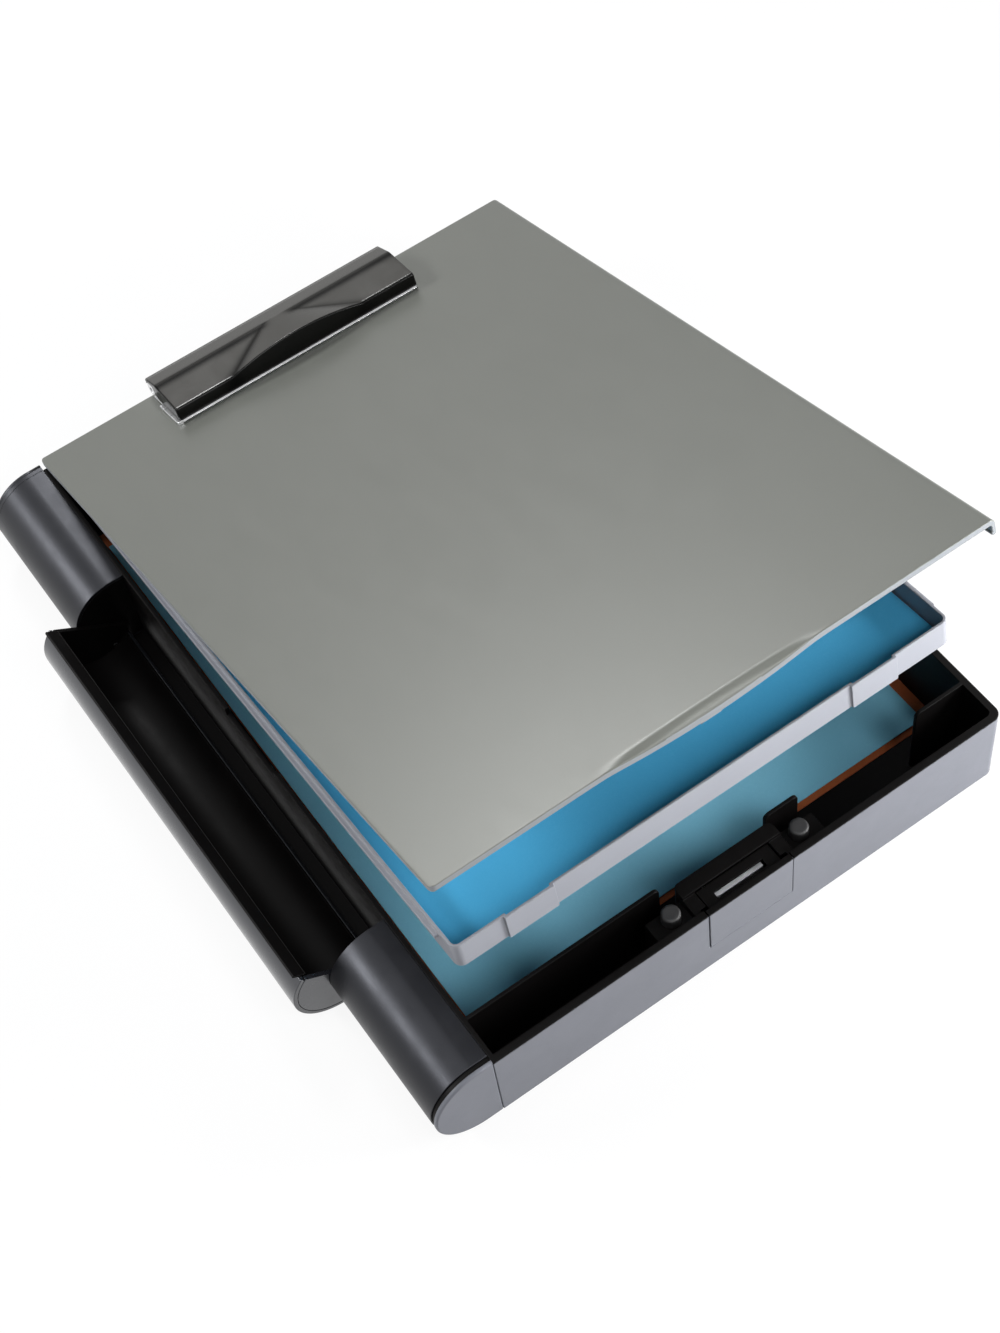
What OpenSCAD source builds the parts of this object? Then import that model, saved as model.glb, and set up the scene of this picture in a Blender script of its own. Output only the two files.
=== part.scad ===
// Storage clipboard box with a swing-out pen trough, in millimetres.
// +Z is up, -Y is the latch side. The origin is the centre of the box's underside.
// Every piece is drawn shut; its pose module then turns it to the open position.

/* [Box] */
// Width of the box between the pen tube and the right wall
box_w = 233; // [230:1:250]
// Depth from the latch side to the hinge side
box_d = 340; // [338:1:360]
// Height of the walls with the rim
box_h = 41; // [40:0.5:44]
// Corner radius of the two right corners
corner_r = 4; // [3.5:0.5:6]
// Thickness of the outer walls
shell_wall = 1.5; // [1.2:0.1:1.8]
// Thickness of the outer floor
shell_floor = 1.2; // [1:0.1:1.6]
// Thickness of the liner's walls and floor
tub_wall = 1.6; // [1.4:0.1:1.8]
// Thickness of the liner's wall beside the tube
tub_left_wall = 2; // [1.8:0.1:2.4]
// Thickness of the rim flange that covers the outer wall
rim_t = 1; // [0.8:0.1:1.2]
// Height of the lowered back wall
back_wall_h = 31; // [29:0.5:31]

/* [Front bays] */
// Clear depth of the small-parts bays behind the front wall
bay_d = 16.2; // [15:0.1:16.4]
// Length of the divider on the left
left_divider_l = 84.7; // [60:0.5:86]
// Length of the divider on the right
right_divider_l = 22.4; // [15:0.5:40]
// Width of the upright tab behind the latch
tab_w = 15.5; // [10:0.5:18]
// Left side of the tab, from the latch's centre line
tab_offset = 21.4; // [20:0.2:24]
// Radius of the rounded ends of dividers and tab
divider_r = 2.5; // [1:0.5:4]
// Length of the thumb notch in the liner's left wall
notch_l = 36; // [20:1:50]
// Depth of the thumb notch
notch_h = 4; // [2:0.5:6]
// Start of the thumb notch from the front
notch_y = 149; // [120:1:170]

/* [Latch] */
// Centre line of the latch from the left side of the box
latch_x = 114; // [113:0.5:118]
// Width of the push plate
button_w = 38.4; // [36:0.2:39]
// Bottom of the push plate
button_z = 15; // [12:0.5:20]
// Travel of the push plate
button_travel = 1.5; // [1:0.1:1.6]
// Gap round the push plate
button_gap = 0.2; // [0.15:0.05:0.3]
// Width of the latch housing
housing_w = 45; // [44:0.5:48]
// Depth of the housing from the front face to its back
housing_d = 18; // [17.5:0.1:18.4]
// Height of the housing's top
housing_h = 40; // [39.8:0.1:40]
// Height of the housing's front part, under the lid's scoop
housing_front_h = 38.4; // [38:0.1:38.4]
// Thickness of the housing's walls
housing_t = 1.2; // [1:0.1:1.4]
// Width of the open recess over the carrier
recess_w = 34; // [33.5:0.1:34.5]
// Depth of the recess from the front face
recess_d = 11.7; // [11:0.1:12]
// Width of the carrier
carrier_w = 33; // [32:0.2:33]
// Height of the carrier's top
carrier_h = 37.8; // [37:0.1:38]
// Back of the carrier from the front face
carrier_d = 12; // [12:0.1:12.4]
// Length of the catch slot
slot_l = 22.4; // [20:0.2:24]
// Width of the catch slot
slot_w = 3; // [3:0.1:3.4]
// Front edge of the catch slot from the front face
slot_y = 5; // [4.8:0.1:5]
// Thickness of the carrier's walls
carrier_t = 1; // [0.9:0.1:1.2]
// Radius of the housing's back corners
housing_r = 2.5; // [2:0.1:3]
// Width of the side ledges that carry the posts
ledge_w = 15.9; // [14:0.1:16]
// Depth of the ledges behind the liner's front wall
ledge_d = 10.6; // [10:0.1:12]
// Height of the ledges
ledge_h = 35; // [33:0.5:36]
// Radius of the bumper posts
post_r = 3.5; // [3:0.1:3.8]
// Height of the bumper posts' tops
post_top = 39.4; // [38.5:0.1:39.5]
// Bevel round the posts' tops
post_bevel = 0.6; // [0.4:0.1:0.8]
// Distance of the posts from the latch's centre line
post_offset = 29.4; // [28:0.2:31]
// Distance of the posts from the front face
post_y = 8.6; // [8:0.1:9]

/* [Pen tube] */
// Distance of the tube's axis from the side of the box
tube_offset = 6.3; // [5:0.1:8]
// Thickness of the tube's wall
tube_wall = 1.8; // [1.5:0.1:2]
// Length of the tube in front of the trough
front_tube_l = 71; // [60:1:90]
// Length of the tube behind the trough
back_tube_l = 73; // [60:1:90]
// Thickness of the end cap
cap_t = 1.8; // [1.5:0.1:3]
// Width of the recessed ring behind the cap
ring_w = 2; // [1.5:0.1:3]
// Depth of the ring's recess
ring_recess = 0.7; // [0.4:0.1:1.2]
// Length of the ring's plug inside the tube
plug_l = 5; // [3:0.5:8]
// Thickness of the tube's bulkheads
bulkhead_t = 1.6; // [1.4:0.1:2.4]
// Height of the sill under the trough's opening
sill_t = 1.5; // [1.2:0.1:1.5]

/* [Pen trough] */
// Angle that the trough stands open at
trough_open = 55; // [0:1:55]
// Thickness of the bin inside the trough's wall
bin_wall = 1.1; // [1:0.1:1.4]
// Height of the bin's lip above the tube's top
lip_rise = 2.8; // [2:0.1:2.8]
// Thickness of the lip
lip_t = 1.2; // [1:0.1:1.4]
// Distance of the trough's mouth from the tube's axis
mouth_offset = 3.3; // [3:0.1:3.5]
// Thickness of the trough's end plates
plate_t = 2; // [1.6:0.1:2.4]
// Gap between the trough's ends and the bulkheads
trough_gap = 0.3; // [0.3:0.1:1]
// Distance of the trough's pivot from the side of the box
trough_pivot_x = 14.1; // [13.8:0.1:14.3]
// Height of the trough's pivot
trough_pivot_z = 5.5; // [5.5:0.1:6]
// Radius of the trough's pivot pins
trough_pin_r = 1; // [0.8:0.1:1.2]

/* [Hinge] */
// Distance of the hinge's axis from the back face
hinge_inset = 4; // [4:0.1:4.4]
// Height of the hinge's axis
hinge_z = 38.6; // [38.5:0.1:38.7]
// Outer radius of the knuckles
knuckle_r = 2.6; // [2.4:0.1:2.6]
// Width of each knuckle
knuckle_w = 9; // [7:0.5:10]
// Gap between neighbouring knuckles
knuckle_gap = 0.3; // [0.2:0.05:0.4]
// Radius of the steel hinge pin
pin_r = 1.2; // [1:0.05:1.3]
// Clearance of a running pin in its bore
pin_clearance = 0.05; // [0.03:0.01:0.08]
// Distance between hinge groups
hinge_pitch = 76.5; // [60:0.5:78]

/* [Tray] */
// Angle that the tray stands open at
tray_open = 7.9; // [0:0.1:30]
// Gap between the tray and the dividers in front of it
tray_front_gap = 1.5; // [1.3:0.1:3]
// Gap between the tray's back wall and the hinge axis
tray_back_gap = 3.4; // [3.2:0.1:4]
// Gap between the tray and the liner's left wall
tray_left_gap = 3.6; // [2.5:0.1:5]
// Gap between the tray and the liner's right wall
tray_right_gap = 4.6; // [2.5:0.1:6]
// Height of the tray's walls
tray_h = 12.4; // [10:0.1:14]
// Drop of the tray's rim below the box's rim
tray_drop = 1.7; // [1.7:0.1:2.5]
// Thickness of the tray's walls
tray_wall = 1.2; // [1:0.1:1.6]
// Corner radius of the tray
tray_r = 3.5; // [2.5:0.5:5]
// How far the side rails stand out
rail_w = 1.6; // [1:0.1:2]
// Thickness of the side rails
rail_t = 1.5; // [1:0.1:2]
// Depth of the side rails below the tray's rim
rail_drop = 2; // [1:0.1:4]
// Distance of the rails' front ends from the tray's front
rail_setback = 10.3; // [6:0.1:20]
// Width of the two jogs in the tray's front wall
jog_w = 21; // [15:0.5:25]
// How far the jogs stand out
jog_d = 1; // [0.6:0.1:1]
// Distance of each jog from the tray's side
jog_inset = 21; // [15:0.5:28]

/* [Cards] */
// Width of a letter-size card
card_w = 216; // [200:1:216]
// Depth of a letter-size card
card_d = 279; // [250:1:285]
// Thickness of the cards
card_t = 0.5; // [0.3:0.1:0.8]
// Front edge of the blue card in the box
base_card_y = 33; // [24:0.1:45]
// Left edge of the blue card in the box
base_card_x = 8.6; // [4:0.1:12]
// Width of the brown card under it
under_card_w = 221.5; // [216:0.5:222]
// Depth of the brown card under it
under_card_d = 290; // [285:1:295]
// Front edge of the brown card
under_card_y = 30.5; // [24:0.5:36]
// Left edge of the brown card
under_card_x = 8.2; // [4:0.1:8.2]
// Play between the tray card and the tray's walls
card_play = 0.4; // [0.3:0.1:1]

/* [Lid] */
// Angle that the lid stands open at
lid_open = 16.7; // [8:0.1:60]
// Thickness of the lid
lid_t = 2.6; // [2:0.1:2.8]
// Gap between the box's rim and the shut lid
lid_gap = 0.6; // [0.5:0.1:1]
// Distance of the lid's front edge from the box's front face
lid_inset = 5.8; // [5.4:0.1:6.4]
// Distance of the lid's back edge behind the hinge axis
lid_tail = 2.7; // [2.65:0.05:2.75]
// Distance of the lid's left edge from the side of the box
lid_left = 1.3; // [0.5:0.1:3]
// Radius of the lid's left corners
lid_corner_r = 2.5; // [1:0.5:4]
// How far the lid's lip stands past the right wall
lid_over = 3.7; // [3.6:0.1:5]
// Height of the turned-down lip, from the lid's top
lip_h = 7.2; // [5:0.1:10]
// Thickness of the turned-down lip
lid_lip_t = 1.8; // [1.4:0.1:2]
// Radius of the lip's rolled edge
lip_bead_r = 1.1; // [0.9:0.1:1.2]
// Half the width of the thumb scoop
scoop_half = 43; // [30:1:50]
// Depth of the thumb scoop at the lid's edge
scoop_dip = 3; // [1.5:0.1:3]
// Distance that the scoop reaches back from the lid's edge
scoop_run = 9; // [8:0.5:10]
// Centre of the scoop from the side of the box
scoop_x = 115; // [114:0.5:117]
// Width of the catch tongue under the scoop
tongue_w = 12; // [10:0.5:16]
// Thickness of the catch tongue
tongue_t = 0.8; // [0.7:0.1:0.9]
// Height of the catch hook at the tongue's end
hook_h = 1; // [0.8:0.1:1.2]
// Reach of the catch hook
hook_reach = 1.5; // [1.2:0.1:1.5]

/* [Clip] */
// Width of the clip
clip_w = 119.5; // [100:0.5:140]
// Left end of the clip from the side of the box
clip_x = 56.5; // [40:0.5:60]
// Depth of the clip from the lid's back edge
clip_d = 31; // [28:0.5:36]
// Thickness of the clip's base plate
clip_base_t = 1.8; // [1.4:0.1:2]
// Height of the cover at its back edge
cover_back_h = 8.8; // [8.6:0.1:9.2]
// Height of the cover at its crease
cover_crease_h = 10.6; // [10:0.1:11.4]
// Height of the cover's front edge at both ends
cover_end_h = 7.5; // [6:0.1:8.5]
// Height of the cover's front edge in the middle
cover_mid_h = 12; // [10:0.1:13]
// Distance of the crease from the back edge
crease_d = 11; // [9:0.5:14]
// Thickness of the cover
cover_t = 1.1; // [0.9:0.1:1.2]
// Thickness of the cover's end and front walls
cover_end_t = 1.5; // [1.2:0.1:1.8]
// Gap between the cover and the base plate
cover_gap = 0.2; // [0.2:0.1:0.6]
// Centre of the raised middle from the clip's left end
cover_mid = 60.7; // [50:0.5:65]
// Half width of the raised middle at the crease
mid_half_back = 5.7; // [3:0.1:10]
// Half width of the raised middle at the front edge
mid_half_front = 32.5; // [25:0.5:40]
// Radius of the clip's pin
clip_pin_r = 1.5; // [1.3:0.1:1.6]
// Outer radius of the clip's barrel
barrel_r = 3.4; // [3:0.1:3.4]
// Distance of the clip's pin from the back edge
clip_pin_d = 3.6; // [3.5:0.1:3.8]
// Height of the clip's pin above the lid
clip_pin_n = 4.3; // [4.2:0.1:4.4]
// Width of the cover's lugs on the pin
lug_w = 3.6; // [3:0.1:5]
// Distance of the lugs from the ends of the clip
lug_inset = 14; // [10:0.5:20]
// Radius of the rivets
rivet_r = 1.6; // [1.2:0.1:2]
// Radius of the rivets' heads
rivet_head_r = 2.9; // [2.5:0.1:3.2]
// Height of the rivets' heads
rivet_head_h = 0.8; // [0.6:0.1:1]
// Distance of the rivets from the lid's back edge
rivet_d = 20.2; // [18:0.1:22]
// Distance of the rivets from the ends of the clip
rivet_inset = 24; // [20:0.5:30]

/* [Springs] */
// Wire radius of the springs
wire_r = 0.4; // [0.3:0.05:0.4]
// Mean radius of the clip spring's coils
clip_coil_r = 2.15; // [2.1:0.05:2.2]
// Number of coils of the clip spring
clip_coils = 7; // [4:1:8]
// Length of the clip spring's legs
spring_leg = 14; // [8:1:18]
// Mean radius of the latch springs' coils
latch_coil_r = 2.2; // [1.8:0.1:3]
// Number of coils of a latch spring
latch_coils = 3; // [2:1:4]
// Distance of the latch springs from the latch's centre line
latch_spring_offset = 9; // [6:0.5:12]

/* [Hidden] */
$fn = 96;
eps = 0.01;
cut = 1;
// gap between pieces that are pushed one inside the other
snug = 0.1;

shell_grey = [0.62, 0.63, 0.68];
tube_grey = [0.22, 0.23, 0.25];
black = [0.06, 0.06, 0.065];
tray_grey = [0.70, 0.71, 0.76];
lid_grey = [0.50, 0.51, 0.48];
steel = [0.75, 0.76, 0.78];
card_blue = [0.25, 0.55, 0.72];
card_brown = [0.45, 0.22, 0.10];

tub_in = shell_wall + tub_wall;
wall_top = box_h - rim_t;
tub_floor_z = shell_floor + tub_wall;
hinge_y = box_d - hinge_inset;
divider_y = tub_in + bay_d;
divider_back = divider_y + tub_wall;

tube_r = box_h / 2;
tube_x = -tube_offset;
tube_z = box_h / 2;
bore_r = tube_r - tube_wall;
ring_r = tube_r - ring_recess;
trough_y0 = front_tube_l;
trough_y1 = box_d - back_tube_l;
bin_out_r = bore_r - snug;
bin_in_r = bin_out_r - bin_wall;
mouth_x = tube_x + mouth_offset;
down_deg = 270;
trough_end_deg = down_deg - 5;

lid_z = box_h + lid_gap;
lid_top = lid_z + lid_t;
lid_back = hinge_y + lid_tail;
lid_front = lid_inset;
lid_right = box_w + lid_over;
scoop_r = (pow(scoop_half, 2) + pow(scoop_dip, 2)) / (2 * scoop_dip);
scoop_deg = atan(scoop_dip / scoop_run);

tray_x0 = tub_left_wall + tray_left_gap;
tray_x1 = box_w - tub_in - tray_right_gap;
tray_y0 = divider_back + tray_front_gap;
tray_y1 = hinge_y - tray_back_gap;
tray_top = box_h - tray_drop;
tray_z = tray_top - tray_h;

recess_side = (housing_w - recess_w) / 2;
housing_x = latch_x - housing_w / 2;
// gap of the liner and the housing round the push plate
inner_gap = button_gap + 0.2;
tongue_y = slot_y + button_travel + 0.2;
hook_top = carrier_h - carrier_t - 0.3;

function mix(a, b, t) = a + (b - a) * t;
function clamp01(t) = min(1, max(0, t));

// --- shared helpers ---

module place() {
    translate([-box_w / 2, -box_d / 2, 0]) children();
}

// Turns the children about the hinge pin so that their front rises
module lift(angle) {
    translate([0, hinge_y, hinge_z]) rotate([-angle, 0, 0]) translate([0, -hinge_y, -hinge_z]) children();
}

// Turns the children about the trough's pivot so that their top swings outwards
module swing(angle) {
    translate([-trough_pivot_x, 0, trough_pivot_z]) rotate([0, -angle, 0])
        translate([trough_pivot_x, 0, -trough_pivot_z]) children();
}

// Draws a profile given in X and Z, from y0 to y1
module run_y(y0, y1) {
    translate([0, y1, 0]) rotate([90, 0, 0]) linear_extrude(y1 - y0) children();
}

// Draws a profile given in Y and Z, from x0 to x1
module run_x(x0, x1) {
    translate([x0, 0, 0]) rotate([90, 0, 90]) linear_extrude(x1 - x0) children();
}

module rod_x(x0, x1, y, z, r) {
    translate([x0, y, z]) rotate([0, 90, 0]) cylinder(r = r, h = x1 - x0);
}

module rod_y(x, z, y0, y1, r) {
    translate([x, y0, z]) rotate([-90, 0, 0]) cylinder(r = r, h = y1 - y0);
}

module box(x0, x1, y0, y1, z0, z1) {
    translate([x0, y0, z0]) cube([x1 - x0, y1 - y0, z1 - z0]);
}

// Plan of the box, inset on three sides, with its left side at x
module box_plan(x, inset, r) {
    w = box_w - inset;
    union() {
        translate([x, inset]) square([w - r - x, box_d - 2 * inset]);
        translate([x, inset + r]) square([w - x, box_d - 2 * inset - 2 * r]);
        for (y = [inset + r, box_d - inset - r]) translate([w - r, y]) circle(r);
    }
}

module rounded_rect(x0, x1, y0, y1, r) {
    union() {
        translate([x0 + r, y0]) square([x1 - x0 - 2 * r, y1 - y0]);
        translate([x0, y0 + r]) square([x1 - x0, y1 - y0 - 2 * r]);
        for (x = [x0 + r, x1 - r], y = [y0 + r, y1 - r]) translate([x, y]) circle(r);
    }
}

// Upright wall outline in X and Z whose top corners are rounded where asked
module tab_profile(x0, x1, z0, z1, r, left, right) {
    difference() {
        translate([x0, z0]) square([x1 - x0, z1 - z0]);
        if (left) translate([x0 + r, z1 - r]) corner_waste(r, 90);
        if (right) translate([x1 - r, z1 - r]) corner_waste(r, 0);
    }
}

// What a rounded corner takes off: a square with a quarter disc cut out
module corner_waste(r, turn) {
    rotate(turn) difference() {
        square(r + eps);
        circle(r);
    }
}

// D-shaped tube outline in X and Z: round on the left, cut off upright at x
module d_profile(r, x) {
    difference() {
        union() {
            translate([tube_x, tube_z]) circle(r);
            translate([tube_x, tube_z - r]) square([x - tube_x, 2 * r]);
        }
        translate([x, tube_z - 2 * tube_r]) square(4 * tube_r);
    }
}

module wedge(a0, a1, r) {
    steps = 8;
    polygon(concat([[0, 0]], [for (i = [0:steps]) let (a = mix(a0, a1, i / steps)) r * [cos(a), sin(a)]]));
}

// --- box ---

// Room behind the hinge axis for the lid's tail, above the low back wall
module back_cut() {
    behind = 0.2;
    box(-cut, box_w + cut, hinge_y + behind, box_d + cut, back_wall_h, box_h + cut);
}

module button_hole(gap) {
    box(latch_x - button_w / 2 - gap, latch_x + button_w / 2 + gap, -cut, tub_in + eps,
        button_z - gap, box_h + cut);
}

module outer_shell() place() color(shell_grey) difference() {
    linear_extrude(wall_top) box_plan(0, 0, corner_r);
    translate([0, 0, shell_floor]) linear_extrude(box_h) box_plan(-cut, shell_wall, corner_r - shell_wall);
    back_cut();
    button_hole(button_gap);
}

module base_knuckle(x0) {
    leg_front = hinge_y - knuckle_r;
    leg_back = hinge_y - 0.3;
    wall_y = box_d - tub_in;
    foot_z = back_wall_h - 5;
    slope_h = 1.5;
    run_x(x0, x0 + knuckle_w) difference() {
        union() {
            translate([hinge_y, hinge_z]) circle(knuckle_r);
            polygon([[leg_front, foot_z], [wall_y, foot_z], [wall_y, back_wall_h],
                     [leg_back, back_wall_h + slope_h], [leg_back, hinge_z], [leg_front, hinge_z]]);
        }
        translate([hinge_y, hinge_z]) circle(pin_r);
    }
}

// Left ends of the four knuckles in a group: base, tray, lid, base
function knuckle_x(group, i) = box_w / 2 + group * hinge_pitch
    + (i - 2) * (knuckle_w + knuckle_gap) + knuckle_gap / 2;

module inner_tub() place() color(black) union() {
    inside_r = corner_r - shell_wall - 0.5;
    sill_inset = 0.6;
    tab_rise = 0.2;
    difference() {
        union() {
            translate([0, 0, shell_floor]) linear_extrude(wall_top - shell_floor)
                box_plan(0, shell_wall, corner_r - shell_wall);
            translate([0, 0, wall_top]) linear_extrude(rim_t) box_plan(0, 0, corner_r);
        }
        translate([0, 0, tub_floor_z]) linear_extrude(box_h)
            box_plan(tub_left_wall, tub_in, inside_r);
        back_cut();
        button_hole(inner_gap);
        box(-cut, tub_left_wall + cut, notch_y, notch_y + notch_l, box_h - notch_h, box_h + cut);
    }
    // sill under the trough's opening
    box(tube_x + sill_inset, 0, trough_y0, trough_y1, 0, sill_t);
    // dividers and tab behind the front bays
    run_y(divider_y, divider_back) {
        tab_profile(tub_left_wall - eps, tub_left_wall + left_divider_l, tub_floor_z - eps, box_h,
                    divider_r, false, true);
        tab_profile(box_w - tub_in - right_divider_l, box_w - tub_in + eps, tub_floor_z - eps, box_h,
                    divider_r, true, false);
        tab_profile(latch_x + tab_offset, latch_x + tab_offset + tab_w, tub_floor_z - eps, box_h + tab_rise,
                    divider_r, true, true);
    }
    for (g = [-1:1], i = [0, 3]) base_knuckle(knuckle_x(g, i));
}

// --- pen tube ---

module tube_shell(y0, y1, wall_y) {
    difference() {
        run_y(y0, y1) d_profile(tube_r, 0);
        run_y(y0 - cut, y1 + cut) d_profile(bore_r, cut);
    }
    difference() {
        run_y(wall_y, wall_y + bulkhead_t) d_profile(bore_r + eps, 0);
        rod_y(-trough_pivot_x, trough_pivot_z, wall_y - cut, wall_y + bulkhead_t + cut,
              trough_pin_r + pin_clearance);
    }
}

module tube_front_shell() place() color(tube_grey)
    tube_shell(cap_t + ring_w, trough_y0, trough_y0 - bulkhead_t);

module tube_back_shell() place() color(tube_grey)
    tube_shell(trough_y1, box_d - cap_t - ring_w, trough_y1);

module tube_front_cap() place() color(shell_grey) run_y(0, cap_t) d_profile(tube_r, 0);

module tube_back_cap() place() color(tube_grey) run_y(box_d - cap_t, box_d) d_profile(tube_r, 0);

// Ring and plug; the ring lies at y, and the plug runs on towards the middle
module tube_ring(y, plug_y) {
    run_y(y, y + ring_w) d_profile(ring_r, 0);
    difference() {
        run_y(plug_y, plug_y + plug_l) d_profile(bore_r - snug, 0);
        run_y(plug_y - cut, plug_y + plug_l + cut) d_profile(bore_r - tube_wall, cut);
    }
}

module tube_front_ring() place() color(black) tube_ring(cap_t, cap_t + ring_w - eps);

module tube_back_ring() place() color(black)
    tube_ring(box_d - cap_t - ring_w, box_d - cap_t - ring_w - plug_l + eps);

// --- pen trough ---

// C-shaped wall: straight along the top from the mouth, then round to the bottom
module trough_wall(r0, r1) {
    difference() {
        d_profile(r1, mouth_x);
        d_profile(r0, mouth_x + cut);
        translate([tube_x, tube_z]) wedge(trough_end_deg, 2 * down_deg - trough_end_deg, 2 * tube_r);
        translate([tube_x, tube_z - 2 * tube_r]) square([2 * tube_r, 2 * tube_r]);
    }
}

module trough_shell() place() color(tube_grey) swing(trough_open)
    run_y(trough_y0 + trough_gap, trough_y1 - trough_gap) trough_wall(bore_r, tube_r);

module trough_bin() place() color(black) swing(trough_open) {
    y0 = trough_y0 + trough_gap + plate_t;
    y1 = trough_y1 - trough_gap - plate_t;
    run_y(y0, y1) {
        trough_wall(bin_in_r, bin_out_r);
        translate([mouth_x - eps, tube_z + bin_in_r]) square([lip_t, box_h + lip_rise - tube_z - bin_in_r]);
    }
}

module trough_plate(y) place() color(tube_grey) swing(trough_open) difference() {
    run_y(y, y + plate_t) intersection() {
        translate([tube_x, tube_z]) circle(bin_out_r);
        translate([mouth_x - 2 * tube_r, 0]) square(2 * tube_r);
    }
    rod_y(-trough_pivot_x, trough_pivot_z, y - cut, y + plate_t + cut, trough_pin_r);
}

module trough_front_plate() trough_plate(trough_y0 + trough_gap);

module trough_back_plate() trough_plate(trough_y1 - trough_gap - plate_t);

module trough_pins() place() color(steel) swing(trough_open) {
    reach = bulkhead_t - snug;
    rod_y(-trough_pivot_x, trough_pivot_z, trough_y0 - reach, trough_y0 + trough_gap + plate_t,
          trough_pin_r);
    rod_y(-trough_pivot_x, trough_pivot_z, trough_y1 - trough_gap - plate_t, trough_y1 + reach,
          trough_pin_r);
}

// --- latch ---

module ledge(x0, x1, end_x) {
    box(x0, x1, tub_in, tub_in + ledge_d, ledge_h - tub_wall, ledge_h);
    box(end_x, end_x + tub_wall, tub_in, tub_in + ledge_d, tub_floor_z, ledge_h);
}

module latch_housing() place() color(black) {
    x0 = housing_x;
    x1 = housing_x + housing_w;
    lip_room = 2;
    difference() {
        union() {
            // rear band, and the lower front part that the lid's scoop comes down into
            translate([0, 0, tub_floor_z]) linear_extrude(housing_h - tub_floor_z) intersection() {
                rounded_back(x0, x1, tub_in, housing_d, housing_r);
                translate([x0, recess_d]) square([housing_w, housing_d]);
            }
            box(x0, x1, tub_in, recess_d + eps, tub_floor_z, housing_front_h);
        }
        translate([0, 0, tub_floor_z - cut]) linear_extrude(housing_h - tub_floor_z + cut - housing_t)
            intersection() {
                rounded_back(x0 + tub_wall, x1 - tub_wall, tub_in - cut, housing_d - tub_wall,
                             max(eps, housing_r - tub_wall));
                translate([x0, recess_d + housing_t]) square([housing_w, housing_d]);
            }
        box(x0 + tub_wall, x1 - tub_wall, tub_in - cut, recess_d + housing_t + eps, tub_floor_z - cut,
            housing_front_h - housing_t);
        box(x0 + recess_side, x1 - recess_side, 0, recess_d, housing_front_h - housing_t - cut, box_h);
        box(x0 + recess_side, x1 - recess_side, recess_d - eps, recess_d + housing_t + eps,
            tub_floor_z, housing_h - housing_t);
        box(latch_x - button_w / 2 - inner_gap, latch_x + button_w / 2 + inner_gap, 0,
            tub_in + button_travel + inner_gap, carrier_h - lip_room, box_h);
    }
    ledge(x0 - ledge_w, x0 + eps, x0 - ledge_w);
    ledge(x1 - eps, x1 + ledge_w, x1 + ledge_w - tub_wall);
}

// Plan of the housing: square at the front, rounded at the back
module rounded_back(x0, x1, y0, y1, r) {
    union() {
        translate([x0, y0]) square([x1 - x0, y1 - y0 - r]);
        translate([x0 + r, y0]) square([x1 - x0 - 2 * r, y1 - y0]);
        for (x = [x0 + r, x1 - r]) translate([x, y1 - r]) circle(r);
    }
}

module bumper_posts() place() color(black)
    for (side = [-1, 1]) translate([latch_x + side * post_offset, post_y, 0]) {
        translate([0, 0, ledge_h]) cylinder(r = post_r, h = post_top - ledge_h - post_bevel);
        translate([0, 0, post_top - post_bevel])
            cylinder(r1 = post_r, r2 = post_r - post_bevel, h = post_bevel);
    }

module button_face() place() color(shell_grey)
    box(latch_x - button_w / 2, latch_x + button_w / 2, 0, shell_wall, button_z, wall_top);

module button_carrier() place() color(black) difference() {
    x0 = latch_x - carrier_w / 2;
    x1 = latch_x + carrier_w / 2;
    foot_rise = 1;
    union() {
        box(x0, x1, shell_wall, carrier_d, button_z + foot_rise, carrier_h);
        // lip that carries the rim on across the push plate
        box(latch_x - button_w / 2, latch_x + button_w / 2, 0, shell_wall + carrier_t, wall_top, box_h);
        box(x0, x1, shell_wall, shell_wall + carrier_t, carrier_h - eps, wall_top + eps);
    }
    box(x0 + carrier_t, x1 - carrier_t, shell_wall + carrier_t, carrier_d - carrier_t, 0,
        carrier_h - carrier_t);
    box(latch_x - slot_l / 2, latch_x + slot_l / 2, slot_y, slot_y + slot_w, carrier_h - carrier_t - cut,
        carrier_h + cut);
}

// Plate that shows in the slot, with feet that stand in the carrier's frame
module latch_slider() place() color(steel) {
    half = slot_l / 2 - 0.3;
    front = slot_y + 1.8;
    back = front + 2;
    bottom = button_z + 6;
    foot_w = 4;
    foot_h = 3;
    box(latch_x - half, latch_x + half, front, back, bottom, hook_top - hook_h - 0.5);
    for (x = [latch_x - half, latch_x + half - foot_w])
        box(x, x + foot_w, back - eps, carrier_d - carrier_t, bottom, bottom + foot_h);
}

// --- springs ---

// Closed tube along a path whose directions are never along X
module wire(path, r, sides = 6) {
    n = len(path);
    ring = [for (i = [0:n - 1]) let (
        a = path[max(0, i - 1)], b = path[min(n - 1, i + 1)],
        t = (b - a) / norm(b - a),
        u0 = [1, 0, 0] - t[0] * t, u = u0 / norm(u0), v = cross(t, u))
        for (k = [0:sides - 1]) path[i] + r * (cos(360 * k / sides) * u + sin(360 * k / sides) * v)];
    walls = [for (i = [0:n - 2], k = [0:sides - 1]) let (k2 = (k + 1) % sides)
        [i * sides + k, (i + 1) * sides + k, (i + 1) * sides + k2, i * sides + k2]];
    ends = [[for (k = [0:sides - 1]) k], [for (k = [sides - 1:-1:0]) (n - 1) * sides + k]];
    polyhedron(ring, concat(walls, ends), convexity = 8);
}

// Points of a coil round the X axis, starting at x0
coil_steps = 14;
function coil(x0, r, pitch, turns, start) = [for (i = [0:turns * coil_steps])
    let (a = start + 360 * i / coil_steps) [x0 + pitch * i / coil_steps, r * cos(a), r * sin(a)]];

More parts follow.
